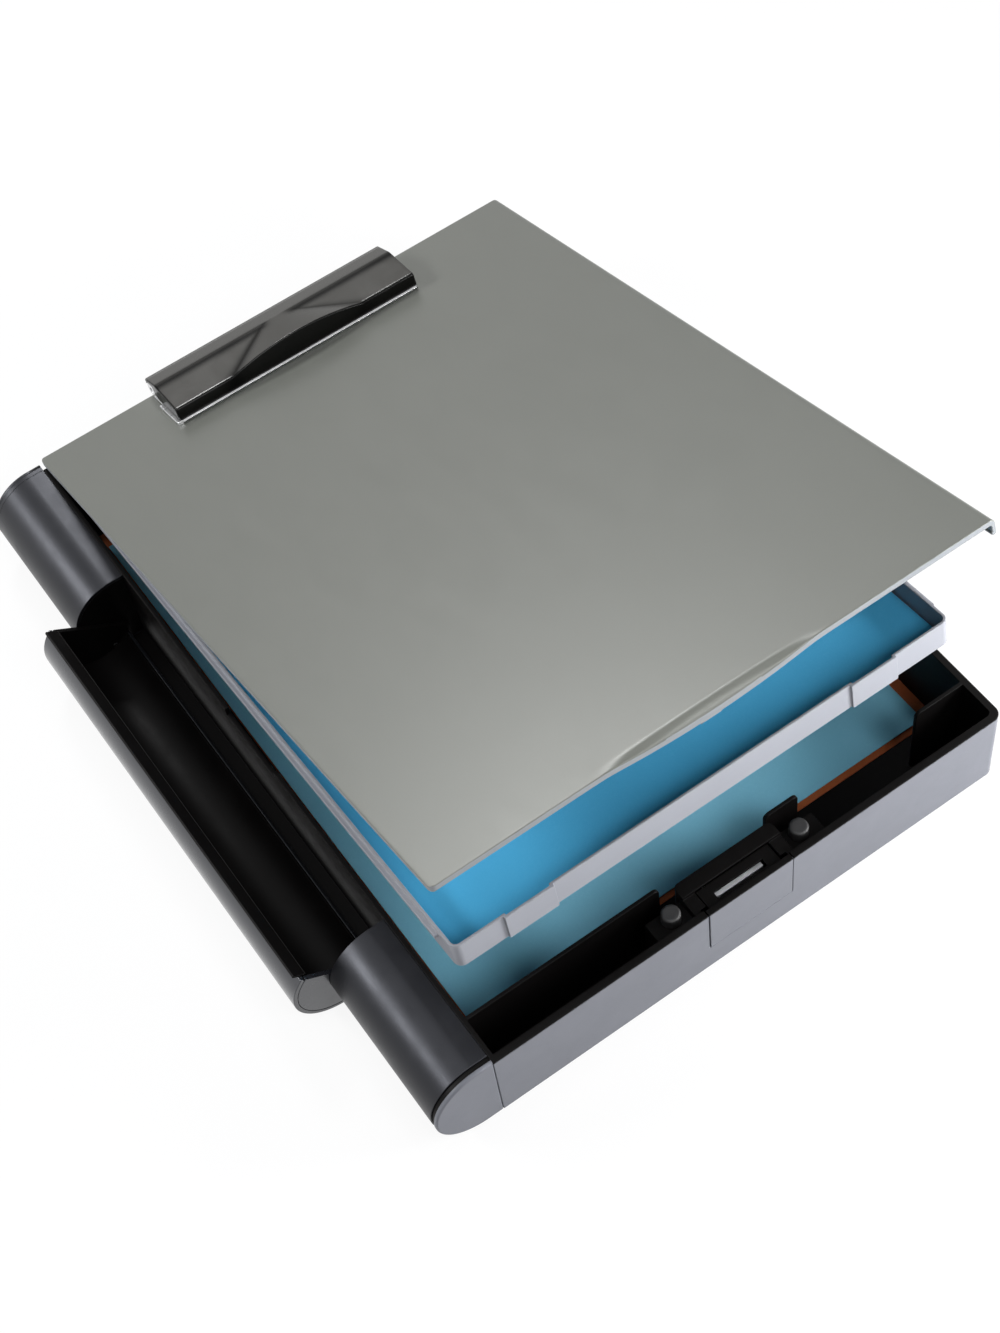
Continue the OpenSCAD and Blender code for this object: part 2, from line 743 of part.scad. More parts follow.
module latch_springs() place() color(steel) {
    room = housing_d - tub_wall - carrier_d - 2 * wire_r;
    for (side = [-1, 1])
        translate([latch_x + side * latch_spring_offset, carrier_d + wire_r, (button_z + carrier_h) / 2])
            rotate([0, 0, 90]) wire(coil(0, latch_coil_r, room / latch_coils, latch_coils, 0), wire_r);
}

// --- tray ---

module tray_pose() { lift(tray_open) children(); }

module tray_plan(inset) {
    rounded_rect(tray_x0 + inset, tray_x1 - inset, tray_y0 + inset, tray_y1 - inset, tray_r - inset);
}

// The two stretches of front wall that stand out
module tray_jogs(grow, y1) {
    for (x = [tray_x0 + jog_inset, tray_x1 - jog_inset - jog_w])
        translate([x - grow, tray_y0 - jog_d - grow]) square([jog_w + 2 * grow, y1 - tray_y0 + jog_d + grow]);
}

module middle_tray() place() color(tray_grey) tray_pose() {
    difference() {
        translate([0, 0, tray_z]) linear_extrude(tray_h) {
            tray_plan(0);
            tray_jogs(0, tray_y0 + tray_wall);
        }
        translate([0, 0, tray_z + tray_wall]) linear_extrude(tray_h) {
            tray_plan(tray_wall);
            tray_jogs(-tray_wall, tray_y0 + 2 * tray_wall);
        }
    }
    for (x = [tray_x0 - rail_w, tray_x1 - eps])
        box(x, x + rail_w + eps, tray_y0 + rail_setback, tray_y1 - tray_r,
            tray_top - rail_drop - rail_t, tray_top - rail_drop);
    for (g = [-1:1]) tray_knuckle(knuckle_x(g, 1));
}

module tray_knuckle(x0) {
    run_x(x0, x0 + knuckle_w) difference() {
        union() {
            translate([hinge_y, hinge_z]) circle(knuckle_r);
            translate([tray_y1 - tray_wall / 2, hinge_z - knuckle_r])
                square([hinge_y - tray_y1 + tray_wall / 2, knuckle_r + tray_top - hinge_z]);
        }
        translate([hinge_y, hinge_z]) circle(pin_r + pin_clearance);
    }
}

module tray_liner_card() place() color(card_blue) tray_pose() {
    x0 = (tray_x0 + tray_x1 - card_w) / 2;
    y0 = tray_y0 + tray_wall + card_play;
    z0 = tray_z + tray_wall;
    box(x0, x0 + card_w, y0, y0 + card_d, z0, z0 + card_t);
}

module base_liner_card() place() color(card_blue)
    box(base_card_x, base_card_x + card_w, base_card_y, base_card_y + card_d,
        tub_floor_z + card_t, tub_floor_z + 2 * card_t);

module base_under_card() place() color(card_brown)
    box(under_card_x, under_card_x + under_card_w, under_card_y, under_card_y + under_card_d,
        tub_floor_z, tub_floor_z + card_t);

module hinge_pin() place() color(steel)
    rod_x(knuckle_x(-1, 0), knuckle_x(1, 3) + knuckle_w, hinge_y, hinge_z, pin_r);

// --- lid ---

module lid_pose() { lift(lid_open) children(); }

// Section of the lid in X and Z: flat sheet, rounded shoulder and turned-down lip
module lid_section() {
    union() {
        translate([lid_left, lid_z]) square([lid_right - lid_t - lid_left, lid_t]);
        intersection() {
            translate([lid_right - lid_t, lid_z]) circle(lid_t);
            translate([lid_right - lid_t, lid_z]) square(lid_t);
        }
        translate([lid_right - lid_lip_t, lid_top - lip_h + lip_bead_r])
            square([lid_lip_t, lip_h - lip_bead_r - lid_t]);
        translate([lid_right - lip_bead_r, lid_top - lip_h + lip_bead_r]) circle(lip_bead_r);
    }
}

// Round bar whose underside lies along the bottom of the thumb scoop
module scoop_bar(r) {
    translate([scoop_x, lid_front, lid_top - scoop_dip]) rotate([scoop_deg, 0, 0])
        translate([0, -scoop_run, scoop_r]) rotate([-90, 0, 0]) cylinder(r = r, h = 4 * scoop_run, $fn = 360);
}

module lid_board() place() color(lid_grey) lid_pose() difference() {
    margin = 5;
    union() {
        run_y(lid_front, lid_back) lid_section();
        intersection() {
            scoop_bar(scoop_r + lid_t);
            box(scoop_x - scoop_half - margin, scoop_x + scoop_half + margin,
                lid_front, lid_front + scoop_run + margin, lid_z - scoop_dip - cut, lid_z + lid_t / 2);
        }
        catch_tongue();
        for (g = [-1:1]) lid_knuckle(knuckle_x(g, 2));
    }
    scoop_bar(scoop_r);
    for (front = [0, 1]) lid_corner_cut(front);
    for (x = rivet_xs()) translate([x, rivet_y(), lid_z - cut]) cylinder(r = rivet_r, h = lid_t + 2 * cut);
    for (g = [-1:1]) rod_x(knuckle_x(g, 2) - cut, knuckle_x(g, 2) + knuckle_w + cut, hinge_y, hinge_z,
                           pin_r + pin_clearance);
}

// Rounds the lid's left corners in plan
module lid_corner_cut(front) {
    y = front == 1 ? lid_front + lid_corner_r : lid_back - lid_corner_r;
    translate([lid_left + lid_corner_r, y, lid_z - cut]) linear_extrude(lid_t + 2 * cut)
        corner_waste(lid_corner_r, front == 1 ? 180 : 90);
}

// Tongue with a hook that passes through the carrier's slot
module catch_tongue() {
    x0 = latch_x - tongue_w / 2;
    box(x0, x0 + tongue_w, tongue_y, tongue_y + tongue_t, hook_top - hook_h, lid_z + eps);
    box(x0, x0 + tongue_w, tongue_y, tongue_y + tongue_t + hook_reach, hook_top - hook_h, hook_top);
}

module lid_knuckle(x0) {
    run_x(x0, x0 + knuckle_w) {
        translate([hinge_y, hinge_z]) circle(knuckle_r);
        translate([hinge_y - knuckle_r, hinge_z]) square([2 * knuckle_r, lid_z + eps - hinge_z]);
    }
}

// --- clip; n is the height above the lid, d the distance from its back edge ---

function rivet_xs() = [clip_x + rivet_inset, clip_x + clip_w - rivet_inset];
function rivet_y() = lid_back - rivet_d;
clip_pin_y = lid_back - clip_pin_d;
clip_pin_z = lid_top + clip_pin_n;
lug_xs = [clip_x + lug_inset, clip_x + clip_w - lug_inset - lug_w];
lug_r = barrel_r - 0.5;
lug_gap = 0.3;
// front and top of the openings in the cover's end walls
end_opening_y = clip_pin_y - barrel_r - 1;
end_opening_z = lid_top + cover_back_h - cover_t + 0.2;
// the clip's spring lies in the middle of the barrel
spring_x = clip_x + clip_w / 2;
spring_pitch = 2 * wire_r * 1.15;
spring_turns = clip_coils + 0.5;
spring_room = spring_turns * spring_pitch + 2;

// Takes away a stretch of the clip's barrel, down to the base plate and a little into it
module barrel_gap(x0, x1) {
    box(x0, x1, clip_pin_y - barrel_r - cut, lid_back + cut, lid_top + clip_base_t,
        clip_pin_z + barrel_r + cut);
    rod_x(x0, x1, clip_pin_y, clip_pin_z, lug_r + lug_gap);
}

module clip_base_plate() place() color(steel) lid_pose() difference() {
    plate_back = lid_back - 2;
    plate_r = 1.2;
    union() {
        translate([0, 0, lid_top]) linear_extrude(clip_base_t)
            rounded_rect(clip_x, clip_x + clip_w, lid_back - clip_d, plate_back, plate_r);
        rod_x(clip_x, clip_x + clip_w, clip_pin_y, clip_pin_z, barrel_r);
    }
    rod_x(clip_x - cut, clip_x + clip_w + cut, clip_pin_y, clip_pin_z, clip_pin_r);
    for (x = lug_xs) barrel_gap(x - lug_gap, x + lug_w + lug_gap);
    barrel_gap(spring_x - spring_room / 2, spring_x + spring_room / 2);
    for (x = rivet_xs()) translate([x, rivet_y(), lid_top - cut])
        cylinder(r = rivet_r, h = clip_base_t + 2 * cut);
}

// Height of the cover's top above the lid, at s along the clip and d from its back edge
function cover_n(s, d) =
    d <= crease_d ? mix(cover_back_h, cover_crease_h, d / crease_d) :
    let (t = (d - crease_d) / (clip_d - crease_d),
         half = mix(mid_half_back, mid_half_front, t),
         w = 1 - pow(clamp01(abs(s - cover_mid) / half), 2))
    mix(cover_crease_h, mix(cover_end_h, cover_mid_h, w), t);

// Solid under the cover's top, lowered by drop and inset at both ends, down to the height n0
module cover_solid(drop, inset, d0, d1, n0) {
    cols = 44;
    steps = 6;
    ds = concat([d0, crease_d], [for (j = [1:steps]) mix(crease_d, d1, j / steps)]);
    rows = len(ds);
    function s_at(i) = mix(inset, clip_w - inset, i / cols);
    top = [for (i = [0:cols], j = [0:rows - 1])
        [clip_x + s_at(i), lid_back - ds[j], lid_top + cover_n(s_at(i), ds[j]) - drop]];
    low = [for (i = [0:cols], j = [0:rows - 1]) [clip_x + s_at(i), lid_back - ds[j], lid_top + n0]];
    m = len(top);
    function id(i, j) = i * rows + j;
    quads_top = [for (i = [0:cols - 1], j = [0:rows - 2]) each [
        [id(i, j), id(i, j + 1), id(i + 1, j + 1)], [id(i, j), id(i + 1, j + 1), id(i + 1, j)]]];
    quads_low = [for (i = [0:cols - 1], j = [0:rows - 2]) each [
        [m + id(i, j), m + id(i + 1, j + 1), m + id(i, j + 1)],
        [m + id(i, j), m + id(i + 1, j), m + id(i + 1, j + 1)]]];
    sides = concat(
        [for (j = [0:rows - 2]) [id(0, j), m + id(0, j), m + id(0, j + 1), id(0, j + 1)]],
        [for (j = [0:rows - 2]) [id(cols, j), id(cols, j + 1), m + id(cols, j + 1), m + id(cols, j)]],
        [for (i = [0:cols - 1]) [id(i, 0), id(i + 1, 0), m + id(i + 1, 0), m + id(i, 0)]],
        [for (i = [0:cols - 1]) [id(i, rows - 1), m + id(i, rows - 1), m + id(i + 1, rows - 1),
                                 id(i + 1, rows - 1)]]);
    faces = concat(quads_top, quads_low, sides);
    polyhedron(concat(top, low), [for (f = faces) [for (k = [len(f) - 1:-1:0]) f[k]]], convexity = 6);
}

module clip_lever() place() color(black) lid_pose() difference() {
    union() {
        difference() {
            cover_solid(0, 0, 0, clip_d, clip_base_t + cover_gap);
            cover_solid(cover_t, cover_end_t, -cut, clip_d - cover_end_t, 0);
            // open ends over the barrel
            for (x = [clip_x - cut, clip_x + clip_w - cover_end_t - cut])
                box(x, x + cover_end_t + 2 * cut, end_opening_y, lid_back + cut, lid_top, end_opening_z);
        }
        for (x = lug_xs) lug(x);
    }
    rod_x(clip_x - cut, clip_x + clip_w + cut, clip_pin_y, clip_pin_z, clip_pin_r + pin_clearance);
}

module lug(x0) {
    run_x(x0, x0 + lug_w) {
        translate([clip_pin_y, clip_pin_z]) circle(lug_r);
        translate([clip_pin_y - lug_r, clip_pin_z])
            square([2 * lug_r, cover_back_h - clip_pin_n - cover_t / 2]);
    }
}

module clip_pin() place() color(steel) lid_pose() {
    inset = 0.5;
    rod_x(clip_x + inset, clip_x + clip_w - inset, clip_pin_y, clip_pin_z, clip_pin_r);
}

// One leg lies on the base plate, the other under the cover
module clip_spring() place() color(steel) lid_pose() translate([0, clip_pin_y, clip_pin_z]) {
    x0 = spring_x - spring_pitch * spring_turns / 2;
    x1 = x0 + spring_pitch * spring_turns;
    leg_z = clip_base_t + wire_r + 0.05 - clip_pin_n;
    bend_y = -1;
    wire(concat([[x0, -spring_leg, leg_z], [x0, -spring_leg / 2, leg_z], [x0, bend_y, leg_z]],
                coil(x0, clip_coil_r, spring_pitch, spring_turns, -90),
                [[x1, -spring_leg / 2, clip_coil_r], [x1, -spring_leg, clip_coil_r]]), wire_r);
}

module clip_rivets() place() color(steel) lid_pose()
    for (x = rivet_xs()) translate([x, rivet_y(), 0]) {
        translate([0, 0, lid_z]) cylinder(r = rivet_r, h = lid_t + clip_base_t);
        for (z = [lid_z - rivet_head_h, lid_top + clip_base_t])
            translate([0, 0, z]) cylinder(r = rivet_head_r, h = rivet_head_h);
    }

outer_shell();
inner_tub();
tube_front_shell();
tube_back_shell();
tube_front_cap();
tube_back_cap();
tube_front_ring();
tube_back_ring();
trough_shell();
trough_bin();
trough_front_plate();
trough_back_plate();
trough_pins();
latch_housing();
button_face();
button_carrier();
latch_slider();
latch_springs();
bumper_posts();
middle_tray();
tray_liner_card();
base_liner_card();
base_under_card();
hinge_pin();
lid_board();
clip_base_plate();
clip_lever();
clip_pin();
clip_spring();
clip_rivets();
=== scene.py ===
"""Storage clipboard box with a swing-out pen trough.

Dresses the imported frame: every sub-assembly is a class that keeps its own sizes, in millimetres from
the front left corner of the shut box, and builds the pieces that ride on the frame's bodies.
"""

from __future__ import annotations

import logging
import math
from dataclasses import dataclass, field
from enum import Enum
from typing import Iterable, Sequence

import bmesh
import bpy
from bpy.types import Material, NodeSocket, NodeTree, Object
from mathutils import Matrix, Vector


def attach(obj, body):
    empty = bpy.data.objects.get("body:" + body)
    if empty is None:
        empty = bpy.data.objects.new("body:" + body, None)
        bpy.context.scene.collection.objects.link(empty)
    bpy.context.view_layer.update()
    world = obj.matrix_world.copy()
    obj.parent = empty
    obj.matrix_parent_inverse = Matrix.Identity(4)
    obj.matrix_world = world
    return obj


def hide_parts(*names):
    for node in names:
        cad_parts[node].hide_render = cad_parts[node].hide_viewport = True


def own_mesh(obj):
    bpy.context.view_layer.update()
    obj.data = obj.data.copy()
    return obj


LOG = logging.getLogger("clipboard_box")
MM = 0.001
MERGE_MM = 0.002
FLAT_ANGLE = math.radians(0.6)
COIL_STEPS = 24
SHARPEST_SQUARE = 0.35
MOST_REACH = 0.48
# Name of the point mark that holds the share of painted shade on the clip cover.
FOLD_SHADE_MASK = "fold"

Point2 = tuple[float, float]
Colour = tuple[float, float, float]


class Body(Enum):
    """Moving bodies of the frame."""

    BASE = "base"
    TROUGH = "trough"
    BUTTON = "button"
    TRAY = "tray"
    LID = "lid"
    CLIP = "clip"


class Slot(Enum):
    """Material slots of the record."""

    SHELL = "shell"
    BLACK = "black"
    RUBBER = "rubber"
    CHARCOAL = "charcoal"
    STEEL = "steel"
    PALE = "pale"
    BLUE_CARD = "blue_card"
    BROWN_CARD = "brown_card"
    LID = "lid"
    GLOSS_BLACK = "gloss_black"


def srgb(red: int, green: int, blue: int) -> Colour:
    """Turns a colour from 0 to 255 display values into linear light.

    Args:
        red: Red display value.
        green: Green display value.
        blue: Blue display value.

    Returns:
        The colour in linear light.
    """
    def linear(value: int) -> float:
        """Linear light of one display value."""
        share = value / 255
        return share / 12.92 if share <= 0.04045 else ((share + 0.055) / 1.055) ** 2.4

    return linear(red), linear(green), linear(blue)


def shade(colour: Colour, factor: float) -> Colour:
    """Scales a colour's light by a factor."""
    return tuple(min(1.0, channel * factor) for channel in colour)


# ---- Layout: the datum sizes that the sub-assemblies share ----


@dataclass(frozen=True)
class Layout:
    """Datum sizes of the box and the angles at which its parts stand open."""

    box_w: float = 233.0
    box_d: float = 340.0
    box_h: float = 41.0
    hinge_y: float = 336.0
    hinge_z: float = 38.6
    pivot: Point2 = (-14.1, 5.5)
    tray_open: float = 7.9
    lid_open: float = 16.7
    trough_open: float = 55.0

    def shut(self) -> Matrix:
        """Placement of a piece that stands still, from millimetres to the frame's metres."""
        centre = Matrix.Translation((-self.box_w / 2, -self.box_d / 2, 0.0))
        return Matrix.Scale(MM, 4) @ centre

    def turned(self, pivot: Vector, axis: str, degrees: float) -> Matrix:
        """Placement of a piece that stands open on a pivot.

        Args:
            pivot: Point of the pivot's axis, in shut millimetres.
            axis: "X" or "Y".
            degrees: Angle that the piece has opened by.

        Returns:
            The matrix from shut millimetres to the frame's metres.
        """
        turn = Matrix.Rotation(math.radians(-degrees), 4, axis)
        return self.shut() @ Matrix.Translation(pivot) @ turn @ Matrix.Translation(-pivot)

    def pose(self, body: Body) -> Matrix:
        """Placement of a piece as its body stands in the frame.

        Args:
            body: Body that the piece rides on.

        Returns:
            The matrix from shut millimetres to the frame's metres.
        """
        pivot = Vector((self.pivot[0], 0.0, self.pivot[1]))
        hinge = Vector((0.0, self.hinge_y, self.hinge_z))
        if body is Body.TROUGH:
            return self.turned(pivot, "Y", self.trough_open)
        if body is Body.TRAY:
            return self.turned(hinge, "X", self.tray_open)
        if body in (Body.LID, Body.CLIP):
            return self.turned(hinge, "X", self.lid_open)
        return self.shut()


LAYOUT = Layout()


# ---- Finishes ----


class Surface:
    """Node tree of one finish while it is being wired."""

    def __init__(self, name: str) -> None:
        """Starts a material with a Principled shader and Object coordinates."""
        self.material: Material = bpy.data.materials.new(name)
        self.material.use_nodes = True
        self.tree: NodeTree = self.material.node_tree
        self.shader = self.tree.nodes["Principled BSDF"]
        self.coordinates: NodeSocket = self.node("ShaderNodeTexCoord").outputs["Object"]

    def node(self, kind: str, **settings: object) -> bpy.types.Node:
        """Adds a node and sets its properties."""
        made = self.tree.nodes.new(kind)
        for name, value in settings.items():
            setattr(made, name, value)
        return made

    def link(self, source: NodeSocket, target: NodeSocket) -> None:
        """Joins two sockets."""
        self.tree.links.new(source, target)

    def constants(self, **values: object) -> None:
        """Sets the shader's own sockets, named with underscores for spaces."""
        for name, value in values.items():
            socket = self.shader.inputs[name.replace("_", " ")]
            socket.default_value = (*value, 1.0) if isinstance(value, tuple) else value

    def mapped(self, scale: Sequence[float], turn: Sequence[float] = (0, 0, 0)) -> NodeSocket:
        """Object coordinates stretched by scale and turned by degrees."""
        mapping = self.node("ShaderNodeMapping")
        mapping.inputs["Scale"].default_value = tuple(scale)
        mapping.inputs["Rotation"].default_value = tuple(math.radians(a) for a in turn)
        self.link(self.coordinates, mapping.inputs["Vector"])
        return mapping.outputs["Vector"]

    def noise(self, scale: float, detail: float = 2.0, roughness: float = 0.5,
              vector: NodeSocket | None = None, distortion: float = 0.0) -> NodeSocket:
        """A noise field.

        Args:
            scale: Features for each metre.
            detail: Octaves.
            roughness: Share that each octave keeps.
            vector: Coordinates, or the object's own.
            distortion: How far the field is warped.

        Returns:
            The socket with the field's value.
        """
        made = self.node("ShaderNodeTexNoise")
        made.inputs["Scale"].default_value = scale
        made.inputs["Detail"].default_value = detail
        made.inputs["Roughness"].default_value = roughness
        made.inputs["Distortion"].default_value = distortion
        self.link(vector or self.coordinates, made.inputs["Vector"])
        return made.outputs["Fac"]

    def remap(self, value: NodeSocket, low: float, high: float, to_low: float,
              to_high: float) -> NodeSocket:
        """Carries a value from one range to another, clamped."""
        made = self.node("ShaderNodeMapRange")
        for name, number in zip(("From Min", "From Max", "To Min", "To Max"),
                                (low, high, to_low, to_high)):
            made.inputs[name].default_value = number
        self.link(value, made.inputs["Value"])
        return made.outputs["Result"]

    def cloud(self, scale: float, detail: float, roughness: float) -> NodeSocket:
        """Soft clouds from 0 to 1."""
        return self.remap(self.noise(scale, detail, roughness), 0.3, 0.7, 0.0, 1.0)

    def varied(self, cloud: NodeSocket, colour: Colour, share: float) -> NodeSocket:
        """A colour that a field makes darker and lighter by a share."""
        return self.blend(cloud, shade(colour, 1 - share), shade(colour, 1 + share))

    def worn(self, roughness: float, first: NodeSocket, second: NodeSocket) -> None:
        """Adds two fields of wear to the shader's roughness."""
        both = self.maths("ADD", first, second)
        self.wire(Roughness=self.maths("ADD", both, roughness))

    def maths(self, operation: str, a: NodeSocket, b: NodeSocket | float) -> NodeSocket:
        """One arithmetic step on two values."""
        made = self.node("ShaderNodeMath", operation=operation)
        self.link(a, made.inputs[0])
        if isinstance(b, NodeSocket):
            self.link(b, made.inputs[1])
        else:
            made.inputs[1].default_value = b
        return made.outputs[0]

    def blend(self, factor: NodeSocket, a: Colour | NodeSocket, b: Colour | NodeSocket) -> NodeSocket:
        """Mixes two colours by a factor."""
        made = self.node("ShaderNodeMix", data_type="RGBA")
        self.link(factor, made.inputs["Factor"])
        for name, value in (("A", a), ("B", b)):
            socket = next(s for s in made.inputs if s.name == name and s.type == "RGBA")
            if isinstance(value, NodeSocket):
                self.link(value, socket)
            else:
                socket.default_value = (*value, 1.0)
        return next(s for s in made.outputs if s.type == "RGBA")

    def bump(self, height: NodeSocket, depth_mm: float, under: NodeSocket | None = None) -> NodeSocket:
        """Turns a height field into a normal.

        Args:
            height: Field from 0 to 1.
            depth_mm: Depth of the relief.
            under: Normal that it lies on.

        Returns:
            The normal.
        """
        made = self.node("ShaderNodeBump")
        made.inputs["Strength"].default_value = 1.0
        made.inputs["Distance"].default_value = depth_mm * MM
        self.link(height, made.inputs["Height"])
        if under is not None:
            self.link(under, made.inputs["Normal"])
        return made.outputs["Normal"]

    def wire(self, **sockets: NodeSocket) -> None:
        """Joins fields to the shader's sockets, named with underscores for spaces."""
        for name, source in sockets.items():
            self.link(source, self.shader.inputs[name.replace("_", " ")])


@dataclass(frozen=True)
class MouldedPlastic:
    """Injection-moulded plastic with a spark-eroded grain and soft handling marks."""

    name: str
    colour: Colour
    roughness: float = 0.42
    grain_mm: float = 0.35
    depth_mm: float = 0.012
    mottle: float = 0.06
    specular: float = 0.5
    coat: float = 0.0
    tint: Colour = (1.0, 1.0, 1.0)

    def material(self) -> Material:
        """Wires the finish."""
        surface = Surface(self.name)
        surface.wire(Base_Color=surface.varied(surface.cloud(22, 4, 0.6), self.colour, self.mottle))
        smear = surface.noise(60, 5, 0.65, distortion=0.6)
        scuffs = surface.noise(420, 3, 0.7, surface.mapped((1.0, 0.12, 1.0), (0, 0, 28)))
        surface.worn(self.roughness, surface.remap(smear, 0.3, 0.75, -0.05, 0.06),
                     surface.remap(scuffs, 0.6, 0.8, 0.0, 0.08))
        grain = surface.noise(1 / (self.grain_mm * MM), 2, 0.6)
        flow = surface.noise(14, 2, 0.4)
        surface.wire(Normal=surface.bump(grain, self.depth_mm, surface.bump(flow, 0.05)))
        surface.constants(Specular_IOR_Level=self.specular, Specular_Tint=self.tint,
                          Coat_Weight=self.coat, Coat_Roughness=0.15)
        return surface.material


@dataclass(frozen=True)
class PaintedBoard:
    """Satin grey writing board: fine flake in the paint, faint rub marks and a soft sheen."""

    name: str
    colour: Colour
    roughness: float = 0.36
    metallic: float = 0.25
    flake_mm: float = 0.22

    def material(self) -> Material:
        """Wires the finish."""
        surface = Surface(self.name)
        cloud = surface.cloud(9, 5, 0.55)
        base = surface.varied(cloud, self.colour, 0.025)
        flake = surface.remap(surface.noise(1 / (self.flake_mm * MM), 2, 0.8), 0.35, 0.7, 0.0, 1.0)
        speckled = surface.varied(flake, self.colour, 0.07)
        half = surface.remap(cloud, 0.0, 1.0, 0.45, 0.55)
        surface.wire(Base_Color=surface.blend(half, base, speckled))
        rub = surface.noise(75, 6, 0.7, surface.mapped((1.0, 0.25, 1.0), (0, 0, -34)), 0.8)
        hair = surface.noise(900, 2, 0.6, surface.mapped((1.0, 0.03, 1.0), (0, 0, 62)))
        surface.worn(self.roughness, surface.remap(rub, 0.35, 0.75, -0.02, 0.035),
                     surface.remap(hair, 0.66, 0.8, 0.0, 0.05))
        surface.wire(Normal=surface.bump(flake, 0.006, surface.bump(surface.noise(30, 3, 0.5), 0.03)))
        surface.constants(Metallic=self.metallic, Specular_IOR_Level=0.5)
        return surface.material


@dataclass(frozen=True)
class PolishedPlastic:
    """Glossy lacquer with hairline scratches and faint waviness, and painted shade in its creases: a point
    mark darkens its colour and weakens its reflection there.
    """

    name: str
    colour: Colour
    painted_fold_shade: Colour
    specular: float = 0.26
    roughness: float = 0.2
    painted_shade_sheen_share: float = 0.3

    def material(self) -> Material:
        """Wires the finish."""
        surface = Surface(self.name)
        plain = surface.varied(surface.cloud(35, 4, 0.6), self.colour, 0.05)
        fold = surface.node("ShaderNodeAttribute", attribute_name=FOLD_SHADE_MASK).outputs["Fac"]
        # Painted shade: the mark blends the colour towards the darker crease colour.
        surface.wire(Base_Color=surface.blend(fold, plain, self.painted_fold_shade))
        hair = surface.noise(700, 3, 0.7, surface.mapped((0.04, 1.0, 1.0), (0, 0, 8)))
        haze = surface.noise(48, 5, 0.7, distortion=1.0)
        surface.worn(self.roughness, surface.remap(hair, 0.58, 0.8, 0.0, 0.03),
                     surface.remap(haze, 0.4, 0.8, 0.0, 0.07))
        surface.wire(Normal=surface.bump(surface.noise(26, 2, 0.4), 0.06))
        # Painted shade: the mark weakens the reflection in the creases too.
        surface.wire(Specular_IOR_Level=surface.remap(fold, 0.0, 1.0, self.specular,
                                                      self.specular * self.painted_shade_sheen_share))
        return surface.material


@dataclass(frozen=True)
class DrawnSteel:
    """Bright drawn steel with fine marks along its length."""

    name: str
    colour: Colour
    roughness: float = 0.24

    def material(self) -> Material:
        """Wires the finish."""
        surface = Surface(self.name)
        drawn = surface.noise(1500, 3, 0.7, surface.mapped((0.05, 1.0, 1.0)))
        tarnish = surface.remap(surface.noise(130, 5, 0.7), 0.45, 0.75, 0.0, 1.0)
        surface.wire(Base_Color=surface.blend(tarnish, self.colour, shade(self.colour, 0.7)))
        surface.wire(Roughness=surface.maths("ADD", surface.remap(drawn, 0.3, 0.8, -0.05, 0.12),
                                             self.roughness))
        surface.wire(Normal=surface.bump(drawn, 0.004))
        surface.constants(Metallic=1.0)
        return surface.material


@dataclass(frozen=True)
class SoftRubber:
    """Moulded rubber with a dusty bloom."""

    name: str
    colour: Colour
    roughness: float = 0.5

    def material(self) -> Material:
        """Wires the finish."""
        surface = Surface(self.name)
        bloom = surface.remap(surface.noise(300, 5, 0.7), 0.4, 0.8, 0.0, 1.0)
        surface.wire(Base_Color=surface.blend(bloom, self.colour, shade(self.colour, 1.8)))
        surface.wire(Roughness=surface.remap(bloom, 0.0, 1.0, self.roughness, self.roughness + 0.18))
        surface.wire(Normal=surface.bump(surface.noise(2600, 2, 0.6), 0.015))
        surface.constants(Specular_IOR_Level=0.45)
        return surface.material


@dataclass(frozen=True)
class CardStock:
    """Dyed card: matted fibres, a soft nap and faint pressing marks."""

    name: str
    colour: Colour
    fibre: Colour

    def material(self) -> Material:
        """Wires the finish."""
        surface = Surface(self.name)
        matted = surface.noise(1900, 4, 0.75, surface.mapped((1.0, 0.35, 1.0), (0, 0, 20)), 1.5)
        crossed = surface.noise(1500, 4, 0.75, surface.mapped((0.35, 1.0, 1.0), (0, 0, -12)), 1.5)
        strands = surface.remap(surface.maths("MAXIMUM", matted, crossed), 0.5, 0.8, 0.0, 0.55)
        base = surface.varied(surface.cloud(16, 4, 0.6), self.colour, 0.04)
        surface.wire(Base_Color=surface.blend(strands, base, self.fibre))
        surface.wire(Roughness=surface.remap(strands, 0.0, 0.55, 0.82, 0.95))
        surface.wire(Normal=surface.bump(strands, 0.02, surface.bump(surface.noise(24, 2, 0.5), 0.12)))
        surface.constants(Specular_IOR_Level=0.2, Sheen_Weight=0.08, Sheen_Roughness=0.5)
        return surface.material


